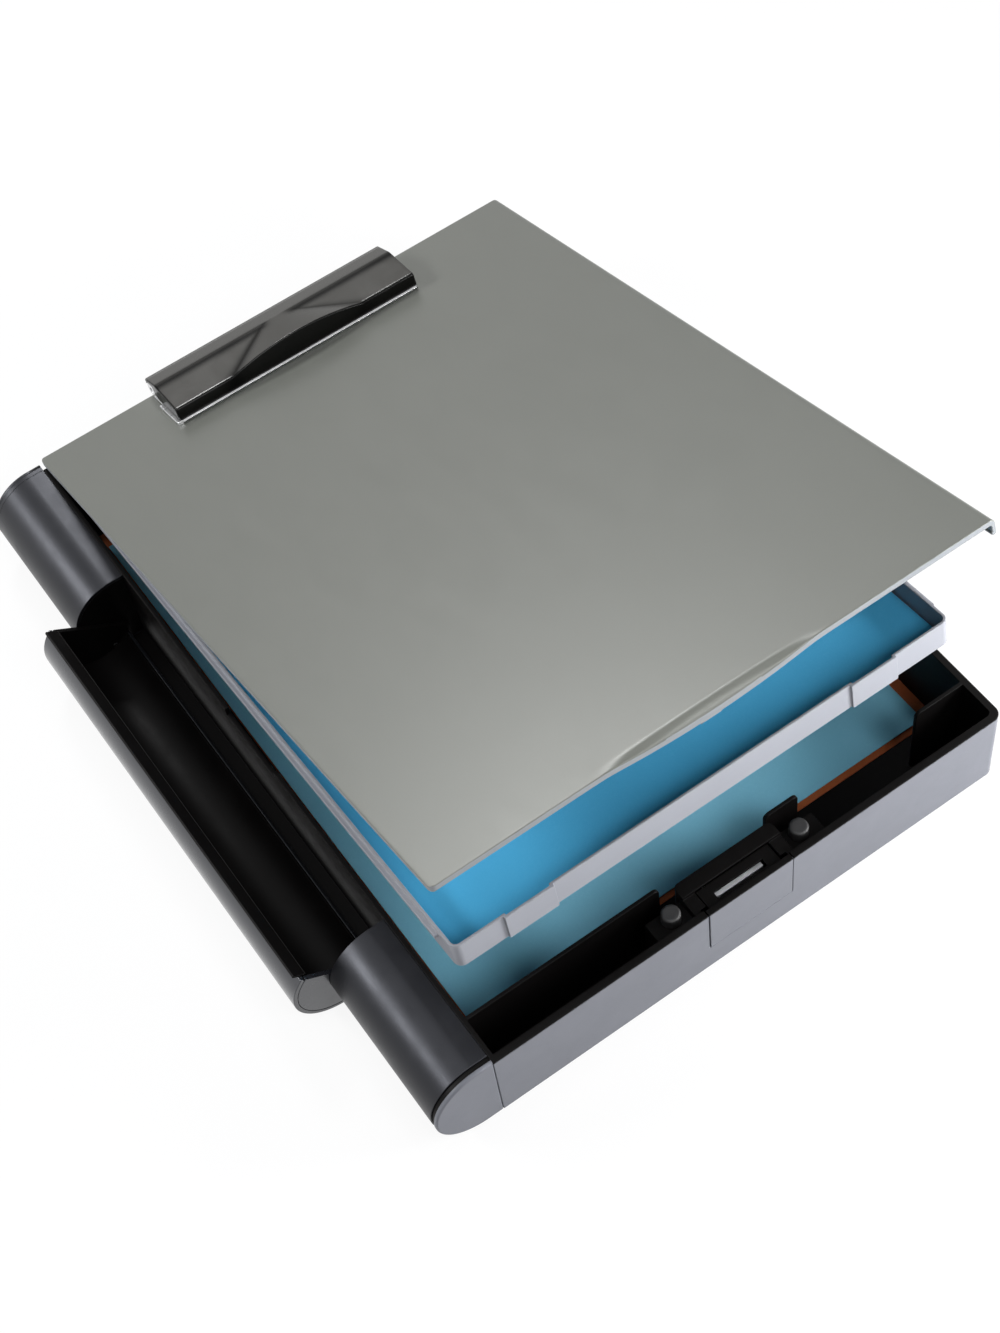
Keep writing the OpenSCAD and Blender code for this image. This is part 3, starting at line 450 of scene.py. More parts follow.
class Finishes:
    """Every finish of the object, wired once."""

    def __init__(self) -> None:
        """Wires the materials."""
        self.shell = MouldedPlastic("silver_moulded_shell", srgb(108, 110, 117), 0.36, 0.4, 0.008,
                                    0.04, specular=0.12).material()
        self.pale = MouldedPlastic("pale_moulded_tray", srgb(140, 142, 149), 0.36, 0.4, 0.008,
                                   0.03, specular=0.3).material()
        self.charcoal = MouldedPlastic("charcoal_moulded_tube", srgb(10, 10, 12), 0.36, 0.3, 0.01,
                                       0.08, specular=0.36, tint=(0.86, 0.89, 1.0)).material()
        # Painted reflection: a lighter copy of the tube's charcoal, standing in for the floor's reflection
        # on the swung-out trough wall.
        self.trough = MouldedPlastic("charcoal_moulded_trough", srgb(26, 27, 31), 0.3, 0.3, 0.01,
                                     0.08, coat=0.5, tint=(0.88, 0.91, 1.0)).material()
        self.black = MouldedPlastic("black_moulded_tub", srgb(7, 6, 6), 0.45, 0.5, 0.01, 0.2,
                                    specular=0.08).material()
        self.lid = PaintedBoard("satin_grey_board", srgb(94, 96, 91), 0.32, 0.1).material()
        self.lid_edge = PaintedBoard("bare_board_edge", srgb(126, 130, 134), 0.45, 0.1).material()
        # Painted reflection: the clip is one black plastic, but its upward faces get this lighter grey copy
        # for the lamps' reflection; its second colour is the painted shade in its creases.
        self.gloss = PolishedPlastic("polished_clip_top", srgb(52, 51, 48), srgb(10, 10, 9)).material()
        self.jet = PolishedPlastic("polished_clip_sides", srgb(6, 6, 5), srgb(5, 5, 5), 0.15).material()
        self.steel = DrawnSteel("drawn_steel", srgb(196, 198, 202)).material()
        self.chrome = DrawnSteel("bright_plate_steel", srgb(222, 223, 224), 0.3).material()
        self.bright = MouldedPlastic("bright_catch_bar", srgb(196, 198, 202), 0.3, 0.6, 0.02,
                                     0.12).material()
        self.rubber = SoftRubber("black_rubber_bumper", srgb(22, 22, 23)).material()
        self.blue_card = CardStock("blue_card_stock", srgb(70, 168, 216), srgb(92, 182, 226)).material()
        self.deep_card = CardStock("pale_blue_card_stock", srgb(116, 180, 204),
                                   srgb(134, 194, 216)).material()
        self.brown_card = CardStock("brown_card_stock", srgb(150, 78, 42), srgb(176, 104, 62)).material()


# ---- Mesh drafting ----


def placed(name: str, data: bpy.types.ID) -> Object:
    """Puts an object with this data in the scene."""
    made = bpy.data.objects.new(name, data)
    bpy.context.scene.collection.objects.link(made)
    return made


def meshed(name: str, mesh: bmesh.types.BMesh) -> Object:
    """Puts an object with this mesh in the scene, and frees the mesh that it was built in."""
    data = bpy.data.meshes.new(name)
    mesh.to_mesh(data)
    mesh.free()
    return placed(name, data)


def arc(centre: Point2, radius: float, start: float, end: float, steps: int) -> list[Point2]:
    """Points along an arc.

    Args:
        centre: Centre of the arc.
        radius: Its radius.
        start: First angle in degrees.
        end: Last angle in degrees.
        steps: Number of chords.

    Returns:
        The points, both ends included.
    """
    angles = (math.radians(start + (end - start) * i / steps) for i in range(steps + 1))
    return [(centre[0] + radius * math.cos(a), centre[1] + radius * math.sin(a)) for a in angles]


def helix(radius: float, pitch: float, turns: float) -> list[tuple[float, float, float]]:
    """Points of a coil, as two distances from its axis and one along it.

    Args:
        radius: Radius of the coil.
        pitch: Distance that one turn moves along the axis.
        turns: Number of turns.

    Returns:
        The points, which start on the second distance.
    """
    angles = [2 * math.pi * i / COIL_STEPS for i in range(int(turns * COIL_STEPS) + 1)]
    return [(radius * math.sin(a), radius * math.cos(a), pitch * a / (2 * math.pi)) for a in angles]


def spread(start: float, end: float, count: int) -> list[float]:
    """Evenly spread numbers, both ends included."""
    return [start + (end - start) * i / (count - 1) for i in range(count)]


def inset(points: Sequence[Point2], depth: float) -> list[Point2]:
    """Moves each corner of a closed outline inwards along its bisector.

    Args:
        points: The outline, either way round.
        depth: Distance that its sides move by.

    Returns:
        The smaller outline, with as many points.
    """
    if depth == 0:
        return list(points)
    count = len(points)
    area = sum(points[i][0] * points[(i + 1) % count][1] - points[(i + 1) % count][0] * points[i][1]
               for i in range(count))
    side = 1.0 if area > 0 else -1.0
    moved = []
    for i, here in enumerate(points):
        before, after = points[i - 1], points[(i + 1) % count]
        normals = []
        for a, b in ((before, here), (here, after)):
            length = math.hypot(b[0] - a[0], b[1] - a[1]) or 1.0
            normals.append((-side * (b[1] - a[1]) / length, side * (b[0] - a[0]) / length))
        sum_x, sum_y = normals[0][0] + normals[1][0], normals[0][1] + normals[1][1]
        square = max(SHARPEST_SQUARE, (sum_x * sum_x + sum_y * sum_y) / 2)
        moved.append((here[0] + depth * sum_x / square, here[1] + depth * sum_y / square))
    return moved


def fillet(points: Sequence[Point2], radius: float, steps: int = 4,
           least_turn: float = 25.0) -> list[Point2]:
    """Rounds the corners of a closed outline.

    Args:
        points: The outline.
        radius: Radius of the rounding.
        steps: Chords in each corner.
        least_turn: Corners that turn by fewer degrees stay as they are.

    Returns:
        The rounded outline.
    """
    rounded: list[Point2] = []
    count = len(points)
    for i, here in enumerate(points):
        corner = Vector(here)
        back = Vector(points[i - 1]) - corner
        ahead = Vector(points[(i + 1) % count]) - corner
        turn = math.pi - back.angle(ahead, math.pi)
        if math.degrees(turn) < least_turn:
            rounded.append(here)
            continue
        reach = min(radius * math.tan(turn / 2), MOST_REACH * back.length, MOST_REACH * ahead.length)
        start, end = corner + back.normalized() * reach, corner + ahead.normalized() * reach
        for step in range(steps + 1):
            share = step / steps
            a, b = start.lerp(corner, share), corner.lerp(end, share)
            point = a.lerp(b, share)
            rounded.append((point.x, point.y))
    return rounded


def rounding(edge: float, steps: int = 4) -> list[tuple[float, float]]:
    """Distance from the end and depth of inset for each loop of a rounded edge, from the end inwards."""
    angles = [math.radians(90 * i / steps) for i in range(steps + 1)]
    return [(edge * (1 - math.cos(a)), edge * (1 - math.sin(a))) for a in angles]


class Draft:
    """Mesh of one piece while it is being built, in millimetres of the shut box."""

    def __init__(self) -> None:
        """Starts an empty mesh."""
        self.mesh = bmesh.new()

    def skin(self, loops: Sequence[Sequence[Sequence[float]]], ring: bool = False) -> Draft:
        """Joins loops of equal length with faces, and closes both ends or the ring.

        Args:
            loops: Closed loops of points.
            ring: Whether the last loop joins the first.

        Returns:
            This draft.
        """
        rows = [[self.mesh.verts.new(p) for p in loop] for loop in loops]
        pairs = list(zip(rows, rows[1:])) + ([(rows[-1], rows[0])] if ring else [])
        for a, b in pairs:
            for i in range(len(a)):
                j = (i + 1) % len(a)
                self.mesh.faces.new((a[i], a[j], b[j], b[i]))
        if not ring:
            self.mesh.faces.new(rows[0][::-1])
            self.mesh.faces.new(rows[-1])
        return self

    def run(self, axis: str, profile: Sequence[Point2], start: float, end: float,
            edge: float = 0.3, steps: int = 3) -> Draft:
        """Draws a closed profile along an axis, with rounded ends.

        Args:
            axis: "X" for a profile in Y and Z, "Z" for X and Y.
            profile: The outline.
            start: Where the solid starts along the axis.
            end: Where it ends.
            edge: Radius of the rounding at both ends.
            steps: Chords of the rounding.

        Returns:
            This draft.
        """
        stations = rounding(edge, steps)
        ends = [(start + along, depth) for along, depth in stations]
        ends += [(end - along, depth) for along, depth in reversed(stations)]
        return self.skin([[(t, a, b) if axis == "X" else (a, b, t) for a, b in inset(profile, depth)]
                          for t, depth in ends])

    def block(self, low: Sequence[float], high: Sequence[float], edge: float = 0.3) -> Draft:
        """Draws a block between two corners, with every edge rounded."""
        outline = fillet([(low[0], low[1]), (high[0], low[1]), (high[0], high[1]),
                          (low[0], high[1])], edge, 3)
        return self.run("Z", outline, low[2], high[2], edge)

    def pierced_plate(self, outline: Sequence[Point2], hole: Point2, radius: float, y0: float,
                      y1: float) -> Draft:
        """Draws an upright plate with a round hole.

        Args:
            outline: Convex outline in X and Z.
            hole: Centre of the hole.
            radius: Radius of the hole.
            y0: Front face.
            y1: Back face.

        Returns:
            This draft.
        """
        bore = []
        for x, z in outline:
            angle = math.atan2(z - hole[1], x - hole[0])
            bore.append((hole[0] + radius * math.cos(angle), hole[1] + radius * math.sin(angle)))
        loops = [(outline, y0), (outline, y1), (bore, y1), (bore, y0)]
        return self.skin([[(x, y, z) for x, z in loop] for loop, y in loops], ring=True)

    def lathe(self, profile: Sequence[Point2], origin: Sequence[float], axis: str,
              steps: int = 48) -> Draft:
        """Turns a profile, given as radius and height, about an axis through origin.

        Args:
            profile: Radius and height of each ring. The ends are closed.
            origin: Point at height nought.
            axis: "X", "Y" or "Z".
            steps: Rings' points.

        Returns:
            This draft.
        """
        frame = {"X": (1, 2, 0), "Y": (2, 0, 1), "Z": (0, 1, 2)}[axis]
        loops = []
        for radius, height in profile:
            loop = []
            for i in range(steps):
                angle = 2 * math.pi * i / steps
                point = list(origin)
                point[frame[0]] += radius * math.cos(angle)
                point[frame[1]] += radius * math.sin(angle)
                point[frame[2]] += height
                loop.append(point)
            loops.append(loop)
        return self.skin(loops)

    def faces_from(self, points: Sequence[Sequence[float]],
                   faces: Iterable[Sequence[int]]) -> Draft:
        """Adds points and the faces between them."""
        made = [self.mesh.verts.new(p) for p in points]
        for face in faces:
            self.mesh.faces.new([made[i] for i in face])
        return self

    def absorb(self, other: Draft) -> Draft:
        """Takes over another draft's solids."""
        data = bpy.data.meshes.new("absorbed")
        other.mesh.to_mesh(data)
        other.mesh.free()
        self.mesh.from_mesh(data)
        bpy.data.meshes.remove(data)
        return self

    def object(self, name: str, placement: Matrix) -> Object:
        """Turns the draft into an object with its place in its mesh.

        Args:
            name: Name of the piece.
            placement: Matrix from the draft's millimetres to the frame's metres.

        Returns:
            The object, at the origin.
        """
        bmesh.ops.remove_doubles(self.mesh, verts=self.mesh.verts, dist=MERGE_MM)
        bmesh.ops.recalc_face_normals(self.mesh, faces=self.mesh.faces)
        bmesh.ops.transform(self.mesh, matrix=placement, verts=self.mesh.verts)
        return meshed(name, self.mesh)


@dataclass
class Piece:
    """One visible piece: how its edges are softened, what it rides on and what it stands for."""

    made: Object
    material: Material
    body: Body
    slot: Slot
    replaces: tuple[str, ...] = ()
    edge_mm: float = 0.0
    segments: int = 2
    edge_angle: float = 32.0
    normal_weight: int = 60

    def finish(self) -> Object:
        """Softens the edges, gives the piece its material and hands it to the frame.

        Returns:
            The finished object.
        """
        made = self.made
        if not made.data.materials:
            made.data.materials.append(self.material)
        for face in made.data.polygons:
            face.use_smooth = True
        if self.edge_mm > 0:
            bevel = made.modifiers.new("softened_edges", "BEVEL")
            bevel.width = self.edge_mm * MM
            bevel.segments = self.segments
            bevel.limit_method = "ANGLE"
            bevel.angle_limit = math.radians(self.edge_angle)
            bevel.use_clamp_overlap = False
            bevel.miter_outer = "MITER_ARC"
        flat = made.modifiers.new("even_normals", "WEIGHTED_NORMAL")
        flat.keep_sharp = True
        flat.weight = self.normal_weight
        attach(made, self.body.value)
        if self.replaces:
            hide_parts(*self.replaces)
        LOG.info("piece %s on %s: %d faces", made.name, self.body.value, len(made.data.polygons))
        return made


def bake(made: Object) -> Object:
    """Turns an object's modifiers into its plain mesh."""
    graph = bpy.context.evaluated_depsgraph_get()
    result = bpy.data.meshes.new_from_object(made.evaluated_get(graph), depsgraph=graph)
    made.modifiers.clear()
    made.data = result
    return made


def joined(first: Object, second: Object) -> Object:
    """Adds the second object's mesh to the first, and removes the second."""
    mesh = bmesh.new()
    mesh.from_mesh(first.data)
    mesh.from_mesh(second.data)
    mesh.to_mesh(first.data)
    mesh.free()
    bpy.data.objects.remove(second)
    return first


def moulded_copy(name: str, node: str) -> Object:
    """Copies a CAD node's solid as a clean mesh that can be given softened edges.

    Args:
        name: Name of the new piece.
        node: Name of the CAD node.

    Returns:
        The object, at the origin, with its flat faces joined up.
    """
    mesh = bmesh.new()
    mesh.from_mesh(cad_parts[node].data)
    bmesh.ops.remove_doubles(mesh, verts=mesh.verts, dist=MERGE_MM * MM)
    bmesh.ops.dissolve_limit(mesh, angle_limit=FLAT_ANGLE, verts=mesh.verts, edges=mesh.edges)
    bmesh.ops.recalc_face_normals(mesh, faces=mesh.faces)
    return meshed(name, mesh)


def shifted(made: Object, pose: Matrix, low: Point2, high: Point2, step: Point2) -> Object:
    """Moves a piece's points that lie between two corners of the plan.

    Args:
        made: The piece.
        pose: Placement of its body.
        low: Corner with the smaller X and Y, in shut millimetres.
        high: Corner with the larger X and Y.
        step: How far the points move along X and Y.

    Returns:
        The same piece.
    """
    back = pose.inverted()
    for vertex in made.data.vertices:
        x, y, z = back @ vertex.co
        if low[0] <= x <= high[0] and low[1] <= y <= high[1]:
            vertex.co = pose @ Vector((x + step[0], y + step[1], z))
    return made


def facing(made: Object, pose: Matrix) -> list[float]:
    """How far each face of a piece looks up from its body, as a cosine."""
    up = (pose.to_3x3() @ Vector((0, 0, 1))).normalized()
    return [face.normal.dot(up) for face in made.data.polygons]


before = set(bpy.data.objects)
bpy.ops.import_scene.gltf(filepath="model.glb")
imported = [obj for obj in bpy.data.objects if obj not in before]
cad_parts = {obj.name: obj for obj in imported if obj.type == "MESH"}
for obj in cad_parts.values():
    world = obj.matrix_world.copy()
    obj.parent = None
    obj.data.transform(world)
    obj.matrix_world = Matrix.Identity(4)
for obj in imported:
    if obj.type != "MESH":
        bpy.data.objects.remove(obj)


# ---- Geometry Nodes: what repeats or follows a path ----


class NodeShop:
    """Geometry Nodes trees for sections, wires and studs, and the modifier that runs them."""

    def __init__(self) -> None:
        """Builds the trees."""
        self.section = self.section_tree()
        self.wire = self.wire_tree()
        self.stud = self.stud_tree()

    @staticmethod
    def grown(name: str, inputs: Sequence[tuple[str, str, object]], nodes: dict[str, str],
              links: Sequence[tuple[str, str, str, str]]) -> NodeTree:
        """Builds a tree from tables. It ends in Realize Instances and Set Material.

        Args:
            name: Name of the tree.
            inputs: Name, socket type and default of each input but Geometry and Material.
            nodes: Type of each node, by the name that the links use.
            links: Node and output that each link leaves, then the node and input that it enters.

        Returns:
            The tree.
        """
        tree = bpy.data.node_groups.new(name, "GeometryNodeTree")
        for label, kind, default in (("Geometry", "NodeSocketGeometry", None), *inputs,
                                     ("Material", "NodeSocketMaterial", None)):
            socket = tree.interface.new_socket(label, in_out="INPUT", socket_type=kind)
            if default is not None:
                socket.default_value = default
        tree.interface.new_socket("Geometry", in_out="OUTPUT", socket_type="NodeSocketGeometry")
        tree.nodes.new("NodeGroupInput").name = "in"
        tree.nodes.new("NodeGroupOutput").name = "out"
        for label, kind in {**nodes, "real": "RealizeInstances", "dress": "SetMaterial"}.items():
            tree.nodes.new("GeometryNode" + kind).name = label
        for source, output, target, entry in (*links, ("real", "Geometry", "dress", "Geometry"),
                                              ("in", "Material", "dress", "Material"),
                                              ("dress", "Geometry", "out", "Geometry")):
            tree.links.new(tree.nodes[source].outputs[output], tree.nodes[target].inputs[entry])
        return tree

    def section_tree(self) -> NodeTree:
        """Runs a flat section along its normal: the face that it is given becomes a closed solid."""
        tree = self.grown(
            "run_section", [("Length", "NodeSocketFloat", 0.1)],
            {"extrude": "ExtrudeMesh", "flip": "FlipFaces", "join": "JoinGeometry",
             "weld": "MergeByDistance"},
            [("in", "Geometry", "extrude", "Mesh"), ("in", "Length", "extrude", "Offset Scale"),
             ("in", "Geometry", "flip", "Mesh"), ("extrude", "Mesh", "join", "Geometry"),
             ("flip", "Mesh", "join", "Geometry"), ("join", "Geometry", "weld", "Geometry"),
             ("weld", "Geometry", "real", "Geometry")])
        tree.nodes["extrude"].mode = "FACES"
        tree.nodes["extrude"].inputs["Individual"].default_value = False
        tree.nodes["weld"].inputs["Distance"].default_value = MERGE_MM * MM
        return tree

    def wire_tree(self) -> NodeTree:
        """Draws a round wire along the edges that it is given."""
        tree = self.grown(
            "bent_wire", [("Radius", "NodeSocketFloat", 0.0004), ("Sides", "NodeSocketInt", 10)],
            {"path": "MeshToCurve", "ring": "CurvePrimitiveCircle", "sweep": "CurveToMesh"},
            [("in", "Geometry", "path", "Mesh"), ("in", "Radius", "ring", "Radius"),
             ("in", "Sides", "ring", "Resolution"), ("path", "Curve", "sweep", "Curve"),
             ("ring", "Curve", "sweep", "Profile Curve"), ("sweep", "Mesh", "real", "Geometry")])
        tree.nodes["sweep"].inputs["Fill Caps"].default_value = True
        return tree

    def stud_tree(self) -> NodeTree:
        """Sets a master stud on every point that it is given."""
        return self.grown(
            "set_studs", [("Master", "NodeSocketObject", None), ("Turn", "NodeSocketRotation", None)],
            {"info": "ObjectInfo", "points": "MeshToPoints", "place": "InstanceOnPoints"},
            [("in", "Master", "info", "Object"), ("in", "Geometry", "points", "Mesh"),
             ("points", "Points", "place", "Points"), ("info", "Geometry", "place", "Instance"),
             ("in", "Turn", "place", "Rotation"), ("place", "Instances", "real", "Geometry")])

    def run(self, made: Object, tree: NodeTree, **values: object) -> Object:
        """Runs a tree on an object and leaves its result as a plain mesh.

        Args:
            made: Object whose mesh the tree starts from.
            tree: The tree.
            values: The tree's inputs by name.

        Returns:
            The same object with the result as its mesh.
        """
        modifier = made.modifiers.new(tree.name, "NODES")
        modifier.node_group = tree
        names = {item.name: item.identifier for item in tree.interface.items_tree
                 if item.item_type == "SOCKET" and item.in_out == "INPUT"}
        for name, value in values.items():
            modifier[names[name]] = value
        graph = bpy.context.evaluated_depsgraph_get()
        result = bpy.data.meshes.new_from_object(made.evaluated_get(graph),
                                                 preserve_all_data_layers=True, depsgraph=graph)
        made.modifiers.remove(modifier)
        made.data = result
        result.name = made.name
        return made

    def sections(self, name: str, profiles: Sequence[tuple[Sequence[Point2], float, float]],
                 placement: Matrix, material: Material) -> Object:
        """Runs flat profiles along Y into closed solids.

        Args:
            name: Name of the piece.
            profiles: Each outline in X and Z, with its start and end along Y.
            placement: Matrix from shut millimetres to the frame's metres.
            material: Its finish.

        Returns:
            The object with its place in its mesh.
        """
        whole = bmesh.new()
        for outline, y0, y1 in profiles:
            flat = bmesh.new()
            face = flat.faces.new([flat.verts.new((x * MM, y0 * MM, z * MM)) for x, z in outline])
            face.normal_update()
            if face.normal.y < 0:
                face.normal_flip()
            made = meshed("section", flat)
            self.run(made, self.section, Length=(y1 - y0) * MM, Material=material)
            whole.from_mesh(made.data)
            bpy.data.objects.remove(made)
        bmesh.ops.recalc_face_normals(whole, faces=whole.faces)
        bmesh.ops.transform(whole, matrix=placement @ Matrix.Scale(1 / MM, 4), verts=whole.verts)
        made = meshed(name, whole)
        made.data.materials.append(material)
        return made

    def wires(self, name: str, paths: Sequence[Sequence[Sequence[float]]], radius_mm: float,
              placement: Matrix, material: Material, sides: int = 10) -> Object:
        """Draws round wires along paths.

        Args:
            name: Name of the piece.
            paths: Points of each wire in shut millimetres.
            radius_mm: Radius of the wire.
            placement: Matrix from shut millimetres to the frame's metres.
            material: Its finish.
            sides: Faces round the wire.

        Returns:
            The object with its place in its mesh.
        """
        points: list[Vector] = []
        edges: list[tuple[int, int]] = []
        for path in paths:
            first = len(points)
            points.extend(placement @ Vector(p) for p in path)
            edges.extend((i, i + 1) for i in range(first, len(points) - 1))
        data = bpy.data.meshes.new(name)
        data.from_pydata(points, edges, [])
        return self.run(placed(name, data), self.wire, Radius=radius_mm * MM, Sides=sides,
                        Material=material)

    def studs(self, name: str, master: Draft, places: Sequence[Sequence[float]],
              placement: Matrix, material: Material) -> Object:
        """Sets copies of a drafted stud at places.

        Args:
            name: Name of the piece.
            master: The stud, drafted round the origin.
            places: Where its origin goes, in shut millimetres.
            placement: Matrix from shut millimetres to the frame's metres.
            material: Its finish.

        Returns:
            The object with its place in its mesh.
        """
        pattern = master.object(name + "_master", Matrix.Scale(MM, 4))
        data = bpy.data.meshes.new(name)
        data.from_pydata([placement @ Vector(p) for p in places], [], [])
        made = placed(name, data)
        self.run(made, self.stud, Master=pattern, Turn=placement.to_euler(), Material=material)
        bpy.data.objects.remove(pattern)
        return made


# ---- Lid ----


@dataclass
class Lid:
    """Writing board with a turned-down lip, a thumb scoop and its catch tongue."""

    left: float = 1.3
    right: float = 236.7
    front: float = 5.8
    back: float = 338.7
    under: float = 41.6
    thickness: float = 2.6
    lip_h: float = 7.2
    lip_t: float = 1.8
    bead_r: float = 1.1
    corner_r: float = 2.5
    corner_zone: float = 3.0
    corner_squeeze: float = 0.24
    edge: float = 0.5
    edge_flat: float = 0.1
    inner_r: float = 0.7
    scoop_x: float = 115.0
    scoop_half: float = 43.0
    scoop_dip: float = 3.0
    scoop_run: float = 3.8
    scoop_soft: float = 0.25
    scoop_margin: float = 8.0
    tongue_x: float = 110.0
    tongue_w: float = 8.0
    tongue_sunk: float = 0.4
    tongue_edge: float = 0.05
    hook: tuple[Point2, ...] = ((7.1, 37.3), (8.75, 35.5), (9.0, 35.5), (9.0, 36.1), (8.6, 36.4),
                                (7.9, 36.5), (7.7, 37.0))
    rim_level: float = 0.35
    rim_side: float = 0.3
    left_columns: tuple[float, ...] = (3.8, 20.0, 40.0)
    scoop_columns: int = 47
    right_columns: tuple[float, ...] = (185.0, 210.0, 226.0)
    corner_rows: tuple[float, ...] = (0.8, 1.25, 1.85, 2.5)
    scoop_rows: tuple[float, float, int] = (3.0, 16.0, 19)
    plain_rows: tuple[float, float, int] = (30.0, 12.0, 8)

    @property
    def top(self) -> float:
        """Height of the board's top."""
        return self.under + self.thickness

    def drop(self, x: float, y: float) -> float:
        """Depth of the thumb scoop below the flat board at a point."""
        radius = (self.scoop_half ** 2 + self.scoop_dip ** 2) / (2 * self.scoop_dip)
        side = abs(x - self.scoop_x)
        if side >= self.scoop_half + self.scoop_margin or y >= self.front + self.scoop_run:
            return 0.0
        deep = self.scoop_dip - (radius - math.sqrt(radius ** 2 - side ** 2))
        sill = self.scoop_soft * math.log1p(math.exp(deep / self.scoop_soft))
        return sill * (1 - (y - self.front) / self.scoop_run) ** 2

    def section(self) -> list[Point2]:
        """Section of the board and its lip in X and Z, with stations across the scoop."""
        lip_in = self.right - self.lip_t
        bead_z = self.top - self.lip_h + self.bead_r
        shoulder = self.thickness
        reach = self.scoop_half + self.scoop_margin
        soft = self.edge + self.edge_flat
        stations = [self.left + soft, *self.left_columns,
                    *spread(self.scoop_x - reach, self.scoop_x + reach, self.scoop_columns),
                    *self.right_columns]
        meet = math.degrees(math.acos((lip_in - (self.right - self.bead_r)) / self.bead_r))
        under = [(x, self.under) for x in stations]
        inner = arc((lip_in - self.inner_r, self.under - self.inner_r), self.inner_r, 90, 0, 4)
        bead = arc((self.right - self.bead_r, bead_z), self.bead_r, meet, 360, 14)
        round_over = arc((self.right - shoulder, self.top - shoulder), shoulder, 0, 90, 10)
        top = [(x, self.top) for x in reversed(stations)]
        left = arc((self.left + soft, self.top - soft), soft, 90, 180, 5)[1:]
        left += arc((self.left + soft, self.under + soft), soft, 180, 270, 5)[:-1]
        return under + inner + bead + round_over + top + left

    def row(self, y: float) -> list[tuple[float, float, float]]:
        """The section's points at one distance from the front, scooped and rounded in plan."""
        near = min(y - self.front, self.back - y)
        plan = depth = 0.0
        if near < self.corner_r:
            plan = self.corner_r - math.sqrt(self.corner_r ** 2 - (self.corner_r - near) ** 2)
        if near < self.edge:
            depth = self.edge - math.sqrt(self.edge ** 2 - (self.edge - near) ** 2)
        points = []
        for x, z in inset(self.section(), depth):
            near_left = x < self.left + self.corner_zone
            keep = max(x, self.left + plan + self.corner_squeeze * (x - self.left)) if near_left else x
            points.append((keep, y, z - self.drop(x, y)))
        return points

    def board(self) -> Draft:
        """Skin of the board from front to back."""
        start = [*(along for along, _ in rounding(self.edge, 4)), *self.corner_rows]
        low, high, count = self.scoop_rows
        rows = [self.front + s for s in start] + spread(self.front + low, self.front + high, count)
        low, high, count = self.plain_rows
        rows += spread(self.front + low, self.back - high, count)
        rows += [self.back - s for s in reversed(start)]
        return Draft().skin([self.row(y) for y in rows])

    def build(self, finishes: Finishes, shop: NodeShop) -> None:
        """Builds and dresses the lid's pieces."""
        pose = LAYOUT.pose(Body.LID)
        board = self.board().object("lid_sheet", pose)
        board.data.materials.append(finishes.lid)
        board.data.materials.append(finishes.lid_edge)
        for face, level in zip(board.data.polygons, facing(board, pose)):
            rim = abs(level) < self.rim_level and face.normal.x < self.rim_side
            face.material_index = 1 if rim else 0
        Piece(board, finishes.lid, Body.LID, Slot.LID, ("lid_board",)).finish()
        neck = self.under - self.tongue_sunk
        hook = fillet([(self.hook[0][0], neck), *self.hook, (self.hook[-1][0], neck)], 0.1, 3)
        tongue = Draft().run("X", hook, self.tongue_x, self.tongue_x + self.tongue_w, self.tongue_edge)
        made = tongue.object("lid_catch_tongue", pose)
        Piece(made, finishes.lid_edge, Body.LID, Slot.LID).finish()


# ---- Clip ----


